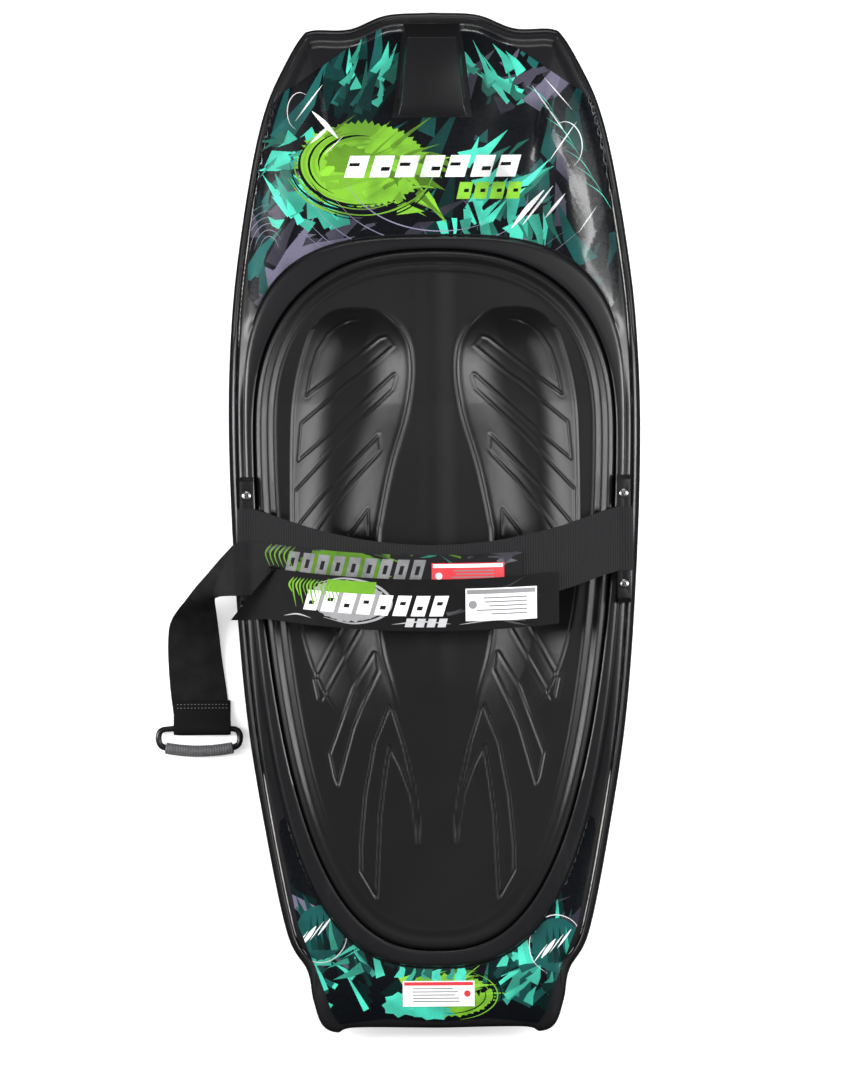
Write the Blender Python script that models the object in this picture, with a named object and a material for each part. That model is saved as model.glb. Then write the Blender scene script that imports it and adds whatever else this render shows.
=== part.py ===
"""A towed kneeboard, modelled as the assembly of its separate sub-parts.

The board lies flat, deck up. +X is the rider's right, +Y points to the nose and
+Z is up. The origin is the middle of the hull's flat bottom. Units are metres.
"""

import math

import bmesh
import bpy
from mathutils import Matrix, Vector

# --- Driving dimensions, in metres -------------------------------------------

GAP = 0.0003            # clearance between touching pieces
WALL = 0.003            # thickness of the moulded hull and deck skins
CORE_GAP = 0.0004       # clearance between the skins and the foam core

# Right half of the board's plan outline, from the nose to the tail.
OUTLINE = [
    (0.000, 0.640), (0.057, 0.637), (0.103, 0.620), (0.149, 0.619),
    (0.165, 0.609), (0.187, 0.572), (0.208, 0.526), (0.225, 0.462),
    (0.242, 0.363), (0.254, 0.260), (0.259, 0.130), (0.254, -0.040),
    (0.240, -0.230), (0.217, -0.383), (0.190, -0.515), (0.165, -0.562),
    (0.158, -0.598), (0.147, -0.630), (0.128, -0.640), (0.105, -0.634),
    (0.000, -0.635),
]
OUTLINE_STEP = 0.070    # longest facet along the outline
CENTRE_Y = -0.050       # point on the centre line that every section runs out from

# Heights by station along the board: (y, value).
ROCKER = [(-0.640, 0.016), (-0.450, 0.005), (-0.280, 0.0), (0.200, 0.0),
          (0.420, 0.010), (0.640, 0.045)]
HULL_DEPTH = [(-0.640, 0.026), (-0.300, 0.040), (0.200, 0.040), (0.640, 0.020)]
RAIL_RISE = [(-0.640, 0.018), (-0.300, 0.030), (0.200, 0.030), (0.640, 0.016)]
RAIL_WIDTH = [(-0.640, 0.009), (-0.300, 0.015), (0.200, 0.015), (0.640, 0.009)]
RING_FOOT = [(-0.560, 0.064), (-0.200, 0.071), (0.150, 0.071), (0.360, 0.084)]
RING_HEIGHT = 0.009
DECK_CROWN = 0.012      # extra height of the nose and tail decks between rail and ring
CROWN_SPAN = 0.280      # deck span that gets the whole crown
FLOOR_Z = 0.042         # cockpit floor under the knee pad
BOTTOM_FRACTIONS = (0.36, 0.60, 0.82)
CHINE = 0.034           # inset of the hull's bottom edge from the rail

# Two shallow fins under the tail: keel line (y, z), and the root sunk in the bottom.
FIN_X = 0.095
FIN_KEEL = [(-0.600, 0.0030), (-0.520, 0.0010), (-0.470, 0.0030)]
FIN_ROOT_YS = (-0.605, -0.520, -0.460)
FIN_ROOT_DEPTH = 0.0012
FIN_ROOT_HALF = 0.0045
FIN_KEEL_HALF = 0.0020

# Egg-shaped outlines: half-width, reach to nose, reach to tail, nose exponent,
# tail exponent at the widest point and its growth towards the tail.
EGG_Y = 0.115
PAD_EGG = (0.226, 0.227, 0.650, 2.4, 1.90, 0.55)
RING_EGG = (0.240, 0.245, 0.673, 3.1, 1.90, 0.75)

# Knee wells in the pad, by station: depth, distance of the middle from the
# centre line, and half-width.
WELL_DEPTH = [(-0.500, 0.0), (-0.400, 0.003), (-0.200, 0.011), (0.000, 0.021),
              (0.120, 0.029), (0.220, 0.025), (0.285, 0.0)]
WELL_MIDDLE = [(-0.450, 0.070), (-0.240, 0.096), (-0.090, 0.120), (0.040, 0.120),
               (0.200, 0.103), (0.290, 0.095)]
WELL_HALF_WIDTH = [(-0.450, 0.040), (-0.240, 0.052), (-0.090, 0.048), (0.040, 0.056),
                   (0.200, 0.074), (0.290, 0.060)]
PAD_FRACTIONS = (0.90, 0.80, 0.70, 0.60, 0.50, 0.40, 0.30, 0.20, 0.10)

FILM = 0.0005           # thickness of the printed films and labels
NOSE_FILM = [(0.000, 0.626), (0.035, 0.624), (0.064, 0.6175), (0.084, 0.608),
             (0.108, 0.592), (0.139, 0.570), (0.170, 0.549), (0.188, 0.539),
             (0.203, 0.522), (0.218, 0.460), (0.226, 0.385), (0.232, 0.320),
             (0.231, 0.285), (0.222, 0.268), (0.000, 0.268)]
TAIL_FILM = [(0.000, -0.366), (0.190, -0.366), (0.197, -0.372), (0.198, -0.388),
             (0.190, -0.429), (0.175, -0.504), (0.150, -0.567), (0.133, -0.615),
             (0.124, -0.628), (0.065, -0.621), (0.000, -0.625)]
TAIL_LABEL = (0.090, 0.032)
TAIL_LABEL_Y = -0.590

HOOK_FRONT = (0.035, 0.624)     # half-width and y of the tow hook's front foot
HOOK_REAR = (0.0495, 0.507)     # half-width and y of its rear lip
HOOK_RISE = 0.032
HOOK_LIP = 0.010                # thickness of the lip over the rope
HOOK_THROAT = 0.022             # depth of the notch under the lip
HOOK_BOLT_YS = (0.595, 0.550)

BAR_X = 0.2355          # strap anchor bars, one on each rail
BAR_Y = -0.021
BAR_WIDTH = 0.0165
BAR_LENGTH = 0.160
BAR_TOP = 0.0935
BAR_THICKNESS = 0.006
BAR_SLOT = 0.087        # length of the slot that the strap passes through
SCREW_SPACING = 0.113
SCREW_HEAD_RADIUS = 0.0055
SCREW_HEAD_HEIGHT = 0.0028
SCREW_RADIUS = 0.0023
SCREW_TIP_Z = 0.0530
INSERT_RADIUS = 0.0040
INSERT_TOP = 0.0655
INSERT_BOTTOM = 0.0485

# The strap's arch over the rider's thighs.
ARCH_FOOT_X = 0.222
ARCH_FOOT_Z = 0.0975
ARCH_RISE = 0.0575
ARCH_POWER = 2.2
STRAP_THICKNESS = 0.003
BAND_THICKNESS = 0.0022
PATCH_THICKNESS = 0.0010
CLOTH_GAP = 0.0006      # clearance between layers of the strap
BASE_STRAP = dict(width=0.080, end_y=-0.021, mid_y=-0.0675)
PULL_STRAP = dict(width=0.068, end_y=-0.055, mid_y=-0.074)
CLOSURE = dict(width=0.064, end_y=-0.084, mid_y=-0.102)
PULL_START_X = 0.106
PULL_END_X = -0.250
CLOSURE_START_X = 0.152
CLOSURE_TIP_X = -0.214
TAIL_THICKNESS = 0.0026
CUFF_THICKNESS = 0.0022
LOOP_GAP = 0.0008       # clearance between an anchor bar and the strap round it
PATCHES = dict(width=0.030, end_y=-0.069, mid_y=-0.090)
LOOP_PATCH_XS = (-0.035, -0.195)
HOOK_PATCH_XS = (-0.040, -0.190)
PULL_LABEL = dict(width=0.032, end_y=-0.060, mid_y=-0.066)
PULL_LABEL_XS = (0.084, -0.005)
CLOSURE_LABEL = dict(width=0.040, end_y=-0.092, mid_y=-0.102)
CLOSURE_LABEL_XS = (0.122, 0.036)

HANDLE_BAR_Y = -0.2567
HANDLE_Z = 0.0077
HANDLE_ENDS = (-0.352, -0.2485)
HANDLE_OUTER_Y = -0.286
HANDLE_TUBE = 0.0042
HANDLE_CORNER = 0.009
HANDLE_BEND = 0.0025
GRIP_RADIUS = 0.0075


# --- Curves and outlines -----------------------------------------------------

def at_station(stations, position):
    """Read a value from a list of stations, on straight lines between them."""
    if position <= stations[0][0]:
        return stations[0][1]
    for (low, first), (high, second) in zip(stations, stations[1:]):
        if position <= high:
            share = (position - low) / (high - low)
            return first + (second - first) * share
    return stations[-1][1]


def smooth_curve(points, counts):
    """Points of a Catmull-Rom curve, with counts[i] steps in span i."""
    points = [Vector(point) for point in points]
    padded = [2 * points[0] - points[1]] + points + [2 * points[-1] - points[-2]]
    curve = []
    for index, count in enumerate(counts):
        before, start, end, after = padded[index:index + 4]
        for step in range(count):
            t = step / count
            curve.append(0.5 * (2 * start + (end - before) * t
                                + (2 * before - 5 * start + 4 * end - after) * t ** 2
                                + (3 * start - before - 3 * end + after) * t ** 3))
    return curve + [points[-1]]


def board_outline():
    """The whole plan outline, clockwise seen from above, starting at the nose."""
    half = [Vector(point) for point in OUTLINE]
    counts = [max(1, math.ceil((b - a).length / OUTLINE_STEP)) for a, b in zip(half, half[1:])]
    right = smooth_curve(half, counts)
    left = [Vector((-point.x, point.y)) for point in reversed(right[1:-1])]
    return right + left


def egg_radius(direction, egg, grow=0.0):
    """Distance from the section centre to an egg outline, along a direction."""
    width, nose, tail, nose_power, tail_power, tail_growth = egg

    def outside(radius):
        x = abs(direction.x) * radius
        y = CENTRE_Y + direction.y * radius - EGG_Y
        reach = nose if y > 0 else tail
        along = abs(y) / reach
        power = nose_power if y > 0 else tail_power + tail_growth * along
        return (x / width) ** power + along ** power > 1

    low, high = 0.0, 1.0
    for _ in range(40):
        middle = (low + high) / 2
        if outside(middle):
            high = middle
        else:
            low = middle
    return low + grow


# --- Sections through the board ----------------------------------------------

class Section:
    """One radial section, from the board's middle out through a rail point.

    Its points are (distance from the middle, height). The hull runs from the
    bottom's middle out to the parting line, and the deck from there back in.
    """

    def __init__(self, rail_point):
        centre = Vector((0.0, CENTRE_Y))
        self.reach = (rail_point - centre).length
        self.direction = (rail_point - centre) / self.reach
        rail_y = rail_point.y
        self.parting = at_station(ROCKER, rail_y) + at_station(HULL_DEPTH, rail_y)
        self.hull = self.hull_points(rail_y)
        self.deck = self.deck_points(rail_y)

    def y_at(self, radius):
        return CENTRE_Y + self.direction.y * radius

    def hull_points(self, rail_y):
        chine = self.reach - CHINE
        points = [(0.0, 0.0)]
        for fraction in BOTTOM_FRACTIONS:
            radius = chine * fraction
            points.append((radius, at_station(ROCKER, self.y_at(radius))))
        bottom = at_station(ROCKER, rail_y)
        depth = self.parting - bottom
        points.append((chine, bottom))
        points.append((self.reach - 0.40 * CHINE, bottom + 0.28 * depth))
        points.append((self.reach - 0.08 * CHINE, bottom + 0.66 * depth))
        points.append((self.reach, self.parting))
        return points

    def deck_points(self, rail_y):
        rise = at_station(RAIL_RISE, rail_y)
        width = at_station(RAIL_WIDTH, rail_y)
        foot = egg_radius(self.direction, RING_EGG)
        wall = egg_radius(self.direction, PAD_EGG, 0.001)
        foot_z = at_station(RING_FOOT, self.y_at(foot))
        edge = max(self.reach - width, foot + 0.003)
        edge_z = self.parting + rise
        crest = foot_z + RING_HEIGHT
        points = [(self.reach, self.parting),
                  (self.reach - 0.12 * width, self.parting + 0.40 * rise),
                  (self.reach - 0.50 * width, self.parting + 0.78 * rise),
                  (edge, edge_z)]
        crown = DECK_CROWN * min(1.0, (edge - foot) / CROWN_SPAN)
        for share in (1 / 3, 2 / 3):
            radius = edge + (foot - edge) * share
            height = edge_z + (foot_z - edge_z) * share + 4 * crown * share * (1 - share)
            points.append((radius, height))
        points.append((foot, foot_z))
        points.append((foot - 0.003, crest - 0.001))
        points.append((wall + 0.003, crest))
        points.append((wall, crest - 0.003))
        points.append((wall, FLOOR_Z))
        points.append((0.0, FLOOR_Z))
        return points

    def place(self, point, lift=0.0):
        """World position of a section point."""
        radius, height = point
        return Vector((self.direction.x * radius, self.y_at(radius), height + lift))


def inset(points, depth):
    """Move an open run of section points to its left by depth, with mitred corners."""
    moved = []
    for index, point in enumerate(points):
        here = Vector(point)
        normals = []
        if index > 0:
            step = here - Vector(points[index - 1])
            normals.append(Vector((-step.y, step.x)).normalized())
        if index < len(points) - 1:
            step = Vector(points[index + 1]) - here
            normals.append(Vector((-step.y, step.x)).normalized())
        across = sum(normals, Vector((0.0, 0.0))).normalized()
        reach = depth / max(0.5, across.dot(normals[0]))
        target = here + across * reach
        if point[0] == 0.0:
            target = here + Vector((0.0, math.copysign(depth, across.y)))
        moved.append((target.x, target.y))
    return moved


SECTIONS = [Section(point) for point in board_outline()]


# --- Meshes and objects ------------------------------------------------------

def clear_scene():
    for old in list(bpy.data.objects):
        bpy.data.objects.remove(old, do_unlink=True)


def make_material(name, color, roughness, metallic=0.0):
    material = bpy.data.materials.new(name)
    material.use_nodes = True
    shader = material.node_tree.nodes["Principled BSDF"]
    shader.inputs["Base Color"].default_value = (*color, 1.0)
    shader.inputs["Roughness"].default_value = roughness
    shader.inputs["Metallic"].default_value = metallic
    material.diffuse_color = (*color, 1.0)
    return material


def add_object(name, bm, material=None):
    """Put a bmesh into the scene as a named object, faces out."""
    bmesh.ops.recalc_face_normals(bm, faces=bm.faces)
    mesh = bpy.data.meshes.new(name)
    bm.to_mesh(mesh)
    bm.free()
    built = bpy.data.objects.new(name, mesh)
    bpy.context.scene.collection.objects.link(built)
    if material:
        mesh.materials.append(material)
    return built


def make_cutter(built):
    built.hide_render = True
    built.display_type = "WIRE"
    return built


def boolean(target, cutter, operation="DIFFERENCE"):
    modifier = target.modifiers.new(cutter.name, "BOOLEAN")
    modifier.operation = operation
    modifier.solver = "EXACT"
    modifier.object = cutter


def loft(rows, closed_rows=True, closed_run=False):
    """A bmesh of bridged rows of points. A one-point row becomes a pole."""
    bm = bmesh.new()
    made = [[bm.verts.new(point) for point in row] for row in rows]
    pairs = list(zip(made, made[1:]))
    if closed_run:
        pairs.append((made[-1], made[0]))
    for first, second in pairs:
        far, near = sorted((first, second), key=reach_of_row, reverse=True)
        count = max(len(far), len(near))
        for index in range(count if closed_rows else count - 1):
            after = (index + 1) % count
            if len(far) > 1:
                bm.faces.new((far[index], far[after], near[after % len(near)]))
            if len(near) > 1:
                bm.faces.new((far[index % len(far)], near[after], near[index]))
    if not closed_run:
        for row in (made[0], made[-1]):
            if len(row) > 2:
                bm.faces.new(row)
    return bm


def reach_of_row(row):
    """Order of a row from the board's middle, so that matched skins are split alike."""
    first = row[0].co
    radius = math.hypot(first.x, first.y - CENTRE_Y)
    return round(radius, 4), first.z


def around_board(run_of, lift=0.0):
    """Rows around the board through every section, for each point of its run."""
    runs = [run_of(section) for section in SECTIONS]
    rows = []
    for index in range(len(runs[0])):
        if runs[0][index][0] == 0.0:
            rows.append([SECTIONS[0].place(runs[0][index], lift)])
        else:
            rows.append([section.place(run[index], lift) for section, run in zip(SECTIONS, runs)])
    return rows


def turned(name, profile, place, segments=16, material=None):
    """A solid of revolution about a vertical axis. The profile starts and ends on it."""
    rows = []
    for radius, height in profile:
        if radius == 0.0:
            rows.append([Vector((place[0], place[1], height))])
            continue
        rows.append([Vector((place[0] + radius * math.cos(2 * math.pi * step / segments),
                             place[1] + radius * math.sin(2 * math.pi * step / segments),
                             height)) for step in range(segments)])
    return add_object(name, loft(rows), material)


def prism(name, outline, low, high, material=None):
    """An upright solid with a plan outline."""
    rows = [[Vector((x, y, z)) for x, y in outline] for z in (low, high)]
    return add_object(name, loft(rows), material)


def mirrored(half):
    """Close a right-half outline with its mirror image."""
    left = [(-x, y) for x, y in reversed(half) if x > 0.0]
    return half + left


def side_solid(name, outline, half_widths, material=None):
    """A solid from a (y, z) side outline, with a half-width at each of its points."""
    rows = [[Vector((side * half, y, z)) for (y, z), half in zip(outline, half_widths)]
            for side in (1, -1)]
    return add_object(name, loft(rows), material)


# --- Board -------------------------------------------------------------------

def hull_run(section):
    outer = list(section.hull)
    outer[-1] = (section.reach, section.parting - GAP / 2)
    inner = inset(outer, WALL)
    inner[-1] = (section.reach - WALL, outer[-1][1])
    return outer + inner[::-1]


def deck_run(section):
    outer = list(section.deck)
    outer[0] = (section.reach, section.parting + GAP / 2)
    inner = inset(outer, WALL)
    inner[0] = (section.reach - WALL, outer[0][1])
    return inner[::-1] + outer


def core_run(section):
    return inset(section.hull + section.deck[1:], WALL + CORE_GAP)


def deck_cutter_run(section):
    """The deck's outer surface with a gap above it, closed well below."""
    lifted = [(radius, height + GAP) for radius, height in section.deck]
    return [(0.0, 0.020), (section.reach, 0.020)] + lifted


def deck_band_run(bottom, top):
    """A thin band over the flat of the deck, between two heights above it."""
    def run(section):
        flat = section.deck[3:7]
        lower = [(radius, height + bottom) for radius, height in flat]
        upper = [(radius, height + top) for radius, height in flat]
        return lower + upper[::-1]
    return run


def add_fin(side, material):
    """A shallow moulded fin under the tail, within the height of the tail rocker."""
    x = side * FIN_X
    root = [(y, at_station(ROCKER, y) + FIN_ROOT_DEPTH) for y in FIN_ROOT_YS]
    rows = []
    for half, line in ((FIN_ROOT_HALF, root), (FIN_KEEL_HALF, FIN_KEEL)):
        rows.append([Vector((x - half, y, z)) for y, z in line]
                    + [Vector((x + half, y, z)) for y, z in reversed(line)])
    return make_cutter(add_object("fin_union", loft(rows), material))


def build_board(black, foam, film, label):
    """Hull, deck, core, printed films and label."""
    hull = add_object("hull_shell", loft(around_board(hull_run)), black)
    for side in (-1, 1):
        boolean(hull, add_fin(side, black), "UNION")
    deck = add_object("deck_shell", loft(around_board(deck_run)), black)
    core = add_object("foam_core", loft(around_board(core_run)), foam)

    layers = (
        ("nose_graphic", mirrored(NOSE_FILM), GAP, film),
        ("tail_graphic", mirrored(TAIL_FILM), GAP, film),
        ("tail_label", label_outline(), 2 * GAP + FILM, label),
    )
    for name, outline, clearance, finish in layers:
        band = loft(around_board(deck_band_run(clearance, clearance + FILM)), closed_run=True)
        piece = add_object(name, band, finish)
        boolean(piece, make_cutter(prism(name + "_outline", outline, 0.0, 0.2)), "INTERSECT")
        if name == "nose_graphic":
            boolean(piece, make_cutter(prism("hook_window", hook_window(), 0.0, 0.2)))
    return deck, core


def hook_window():
    """The opening in the nose film round the tow hook's foot."""
    margin = 0.001
    front = (HOOK_FRONT[0] + margin, HOOK_FRONT[1] + 0.006)
    rear = (HOOK_REAR[0] + margin, HOOK_REAR[1] - margin)
    return [front, rear, (-rear[0], rear[1]), (-front[0], front[1])]


def label_outline():
    half_width, half_height = TAIL_LABEL[0] / 2, TAIL_LABEL[1] / 2
    return [(-half_width, TAIL_LABEL_Y - half_height), (half_width, TAIL_LABEL_Y - half_height),
            (half_width, TAIL_LABEL_Y + half_height), (-half_width, TAIL_LABEL_Y + half_height)]


def pad_height(x, y):
    """Height of the knee pad's top, with its two wells."""
    rim = at_station(RING_FOOT, y) + RING_HEIGHT - 0.001
    across = (abs(x) - at_station(WELL_MIDDLE, y)) / at_station(WELL_HALF_WIDTH, y)
    if abs(across) >= 1:
        return rim
    return rim - at_station(WELL_DEPTH, y) * math.cos(across * math.pi / 2) ** 1.3


def build_pad(material):
    """The soft knee pad, which drops into the cockpit."""
    def run(section):
        edge = egg_radius(section.direction, PAD_EGG)
        top = at_station(RING_FOOT, section.y_at(edge)) + RING_HEIGHT
        points = [(0.0, FLOOR_Z + CORE_GAP), (edge, FLOOR_Z + CORE_GAP),
                  (edge, top - 0.006), (edge - 0.005, top - 0.001)]
        for fraction in PAD_FRACTIONS:
            radius = edge * fraction
            place = section.place((radius, 0.0))
            points.append((radius, pad_height(place.x, place.y)))
        points.append((0.0, pad_height(0.0, CENTRE_Y)))
        return points
    return add_object("knee_pad", loft(around_board(run)), material)


# --- Tow hook and strap anchors ----------------------------------------------

def deck_height_at(y):
    """Height of the nose deck on the centre line."""
    section = SECTIONS[0]
    for (outer, outer_z), (inner, inner_z) in zip(section.deck[3:], section.deck[4:7]):
        if section.y_at(inner) <= y <= section.y_at(outer):
            share = (y - section.y_at(inner)) / (outer - inner)
            return inner_z + (outer_z - inner_z) * share
    return section.deck[3][1]


def build_tow_hook(deck, core, deck_cutter, black, steel):
    front_half, front_y = HOOK_FRONT
    rear_half, rear_y = HOOK_REAR
    rear_z = deck_height_at(rear_y)
    top = rear_z + HOOK_RISE
    root_y = rear_y + HOOK_THROAT
    outline = [(front_y, 0.070), (front_y, deck_height_at(front_y) + 0.008),
               (front_y - 0.020, top - 0.006), (rear_y + 0.014, top), (rear_y, top - 0.006),
               (rear_y, top - HOOK_LIP), (root_y, top - HOOK_LIP), (root_y, 0.070)]
    half_widths = []
    for y, z in outline:
        base = front_half + (rear_half - front_half) * (front_y - y) / (front_y - rear_y)
        half_widths.append(base - 0.30 * max(0.0, z - rear_z))
    hook = side_solid("tow_hook", outline, half_widths, black)
    boolean(hook, deck_cutter)
    for name, y in zip(("tow_hook_bolt_front", "tow_hook_bolt_rear"), HOOK_BOLT_YS):
        surface = deck_height_at(y)
        head = surface - WALL - 0.010
        bolt = [(0.0, head), (0.006, head), (0.006, head + 0.005), (0.003, head + 0.005),
                (0.003, surface + 0.014), (0.0, surface + 0.014)]
        turned(name, bolt, (0.0, y), 12, steel)
        room = [(0.0, head - CORE_GAP), (0.0065, head - CORE_GAP), (0.0065, head + 0.0055),
                (0.0034, head + 0.0055), (0.0034, surface + 0.0145), (0.0, surface + 0.0145)]
        pocket = make_cutter(turned(name + "_pocket", room, (0.0, y), 12))
        for target in (hook, deck, core):
            boolean(target, pocket)


def build_anchor(side, name, deck, core, deck_cutter, black, steel, brass):
    """A bridge bar that the strap loops round, with its two screws and inserts."""
    half, slot = BAR_LENGTH / 2, BAR_SLOT / 2
    under = BAR_TOP - BAR_THICKNESS
    outline = [(-half, 0.055), (-half, BAR_TOP - 0.007), (-half + 0.006, BAR_TOP),
               (half - 0.006, BAR_TOP), (half, BAR_TOP - 0.007), (half, 0.055),
               (slot, 0.055), (slot, under), (-slot, under), (-slot, 0.055)]
    outline = [(BAR_Y + y, z) for y, z in outline]
    bar = side_solid("anchor_bar_" + name, outline, [BAR_WIDTH / 2] * len(outline), black)
    bar.data.transform(Matrix.Translation((side * BAR_X, 0.0, 0.0)))
    boolean(bar, deck_cutter)
    for end, offset in (("front", SCREW_SPACING / 2), ("rear", -SCREW_SPACING / 2)):
        place = (side * BAR_X, BAR_Y + offset)
        label = name + "_" + end
        seat = BAR_TOP + GAP
        head = [(0.0, SCREW_TIP_Z), (SCREW_RADIUS, SCREW_TIP_Z), (SCREW_RADIUS, seat),
                (SCREW_HEAD_RADIUS, seat), (SCREW_HEAD_RADIUS, seat + 0.4 * SCREW_HEAD_HEIGHT),
                (0.6 * SCREW_HEAD_RADIUS, seat + SCREW_HEAD_HEIGHT), (0.0, seat + SCREW_HEAD_HEIGHT)]
        turned("anchor_screw_" + label, head, place, 12, steel)
        bore = SCREW_RADIUS + GAP
        sleeve = [(0.0, INSERT_BOTTOM), (INSERT_RADIUS, INSERT_BOTTOM), (INSERT_RADIUS, INSERT_TOP),
                  (bore, INSERT_TOP), (bore, INSERT_BOTTOM + 0.003), (0.0, INSERT_BOTTOM + 0.003)]
        turned("anchor_insert_" + label, sleeve, place, 12, brass)
        room = [(0.0, INSERT_BOTTOM - GAP), (INSERT_RADIUS + GAP, INSERT_BOTTOM - GAP),
                (INSERT_RADIUS + GAP, 0.090), (0.0, 0.090)]
        pocket = make_cutter(turned("insert_pocket_" + label, room, place, 12))
        boolean(deck, pocket)
        boolean(core, pocket)
        drill = [(0.0, 0.045), (bore, 0.045), (bore, 0.110), (0.0, 0.110)]
        boolean(bar, make_cutter(turned("screw_bore_" + label, drill, place, 12)))


# --- Straps ------------------------------------------------------------------

def ribbon(name, sections, thickness, material):
    """A strip of cloth through pairs of edge points, with an even thickness."""
    middles = [(first + second) / 2 for first, second in sections]
    rows = []
    for index, (first, second) in enumerate(sections):
        ahead = middles[min(index + 1, len(middles) - 1)]
        behind = middles[max(index - 1, 0)]
        normal = (ahead - behind).cross(second - first).normalized() * thickness / 2
        rows.append([first + normal, second + normal, second - normal, first - normal])
    return add_object(name, loft(rows), material)


def arch_height(x):
    return ARCH_FOOT_Z + ARCH_RISE * (1 - (abs(x) / ARCH_FOOT_X) ** ARCH_POWER)


def arch_point(x, offset):
    """A point over the arch, offset square to it."""
    rise = arch_height(x + 0.0005) - arch_height(x - 0.0005)
    normal = Vector((-rise, 0.001)).normalized()
    return Vector((x, arch_height(x))) + normal * offset


def sagging(strap, x):
    """Edge positions of a strap across the board: it hangs tailward in the middle."""
    share = min(1.0, abs(x) / ARCH_FOOT_X) ** 2
    middle = strap["mid_y"] + (strap["end_y"] - strap["mid_y"]) * share
    return middle + strap["width"] / 2, middle - strap["width"] / 2


def strap_sections(path, strap):
    sections = []
    for x, z in path:
        front, rear = sagging(strap, x)
        sections.append((Vector((x, front, z)), Vector((x, rear, z))))
    return sections


def spread(start, end, count):
    return [start + (end - start) * step / count for step in range(count + 1)]


def anchor_loop():
    """The right end of the base strap: over the bar, round it and back under the strap."""
    clear = STRAP_THICKNESS / 2 + LOOP_GAP
    top = BAR_TOP + clear
    bottom = BAR_TOP - BAR_THICKNESS - clear
    out = BAR_X + BAR_WIDTH / 2 + clear
    middle = (top + bottom) / 2
    return [(0.2290, top + 0.0004), (0.2400, top), (out - 0.0006, top - 0.0006), (out, middle),
            (out - 0.0006, bottom + 0.0006), (0.2405, bottom), (0.2300, bottom),
            (0.2235, bottom + 0.0010), (0.2130, 0.0940), (0.2030, 0.1028), (0.1833, 0.1130),
            (0.1634, 0.1216)]


def build_straps(webbing, band, hook_and_loop, red, white):
    loop = anchor_loop()
    arch = [tuple(arch_point(x, 0.0)) for x in spread(-0.208, 0.208, 20)]
    path = [(-x, z) for x, z in reversed(loop)] + arch + loop
    ribbon("base_strap", strap_sections(path, BASE_STRAP), STRAP_THICKNESS, webbing)

    pull_offset = STRAP_THICKNESS / 2 + CLOTH_GAP + BAND_THICKNESS / 2
    pull = [tuple(arch_point(x, pull_offset)) for x in spread(PULL_START_X, -0.208, 16)]
    pull += [(-0.2290, 0.0996), (-0.2400, 0.0994), (PULL_END_X, 0.0986)]
    ribbon("pull_strap", strap_sections(pull, PULL_STRAP), BAND_THICKNESS, webbing)

    patch_offset = pull_offset + BAND_THICKNESS / 2 + CLOTH_GAP + PATCH_THICKNESS / 2
    patches = (("loop_patch", patch_offset, LOOP_PATCH_XS),
               ("hook_patch", patch_offset + CLOTH_GAP + PATCH_THICKNESS, HOOK_PATCH_XS))
    for name, offset, (start, end) in patches:
        line = [tuple(arch_point(x, offset)) for x in spread(start, end, 8)]
        ribbon(name, strap_sections(line, PATCHES), PATCH_THICKNESS, hook_and_loop)

    label_offset = pull_offset + BAND_THICKNESS / 2 + CLOTH_GAP + FILM / 2
    line = [tuple(arch_point(x, label_offset)) for x in spread(*PULL_LABEL_XS, 5)]
    ribbon("strap_label", strap_sections(line, PULL_LABEL), FILM, red)

    closure_offset = patch_offset + 2 * CLOTH_GAP + 1.5 * PATCH_THICKNESS + BAND_THICKNESS / 2
    line = [tuple(arch_point(x, closure_offset)) for x in spread(CLOSURE_START_X, -0.205, 16)]
    sections = strap_sections(line, CLOSURE)
    front, rear = sagging(CLOSURE, CLOSURE_TIP_X)
    sections.append((Vector((CLOSURE_TIP_X + 0.010, front, 0.1180)),
                     Vector((-0.234, rear - 0.002, 0.1060))))
    sections.append((Vector((CLOSURE_TIP_X + 0.014, front + 0.002, 0.1260)),
                     Vector((-0.255, rear - 0.001, 0.1110))))
    ribbon("closure_band", sections, BAND_THICKNESS, band)
    label_offset = closure_offset + BAND_THICKNESS / 2 + CLOTH_GAP + FILM / 2
    line = [tuple(arch_point(x, label_offset)) for x in spread(*CLOSURE_LABEL_XS, 5)]
    ribbon("closure_label", strap_sections(line, CLOSURE_LABEL), FILM, white)


# Both edges of the loose strap end, from the rail down to the ground and along it.
TAIL_OUTER = [(-0.2505, -0.0240, 0.0984), (-0.2665, -0.0413, 0.0925), (-0.2850, -0.0620, 0.0760),
              (-0.3000, -0.0776, 0.0600), (-0.3150, -0.0950, 0.0420), (-0.3270, -0.1090, 0.0250),
              (-0.3350, -0.1220, 0.0120), (-0.3385, -0.1400, 0.0048), (-0.3390, -0.1700, 0.0020),
              (-0.3366, -0.2090, 0.0015), (-0.3320, -0.2465, 0.0015)]
TAIL_INNER = [(-0.2505, -0.0892, 0.0984), (-0.2600, -0.0893, 0.0945), (-0.2680, -0.0895, 0.0865),
              (-0.2730, -0.0897, 0.0760), (-0.2762, -0.0900, 0.0660), (-0.2775, -0.0960, 0.0520),
              (-0.2765, -0.1100, 0.0330), (-0.2745, -0.1330, 0.0140), (-0.2710, -0.1690, 0.0045),
              (-0.2655, -0.2090, 0.0015), (-0.2612, -0.2465, 0.0015)]


# The cuff that folds back over the strap end, round the handle: its sides, and (y, z).
CUFF_XS = (-0.2605, -0.3325)
CUFF_LOOP = [(-0.2220, 0.0046), (-0.2380, 0.0056), (-0.2480, 0.0108), (-0.2555, 0.0137),
             (-0.2622, 0.0127), (-0.2652, 0.0078), (-0.2625, 0.0030), (-0.2560, 0.0014),
             (-0.2485, 0.0014)]


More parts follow.
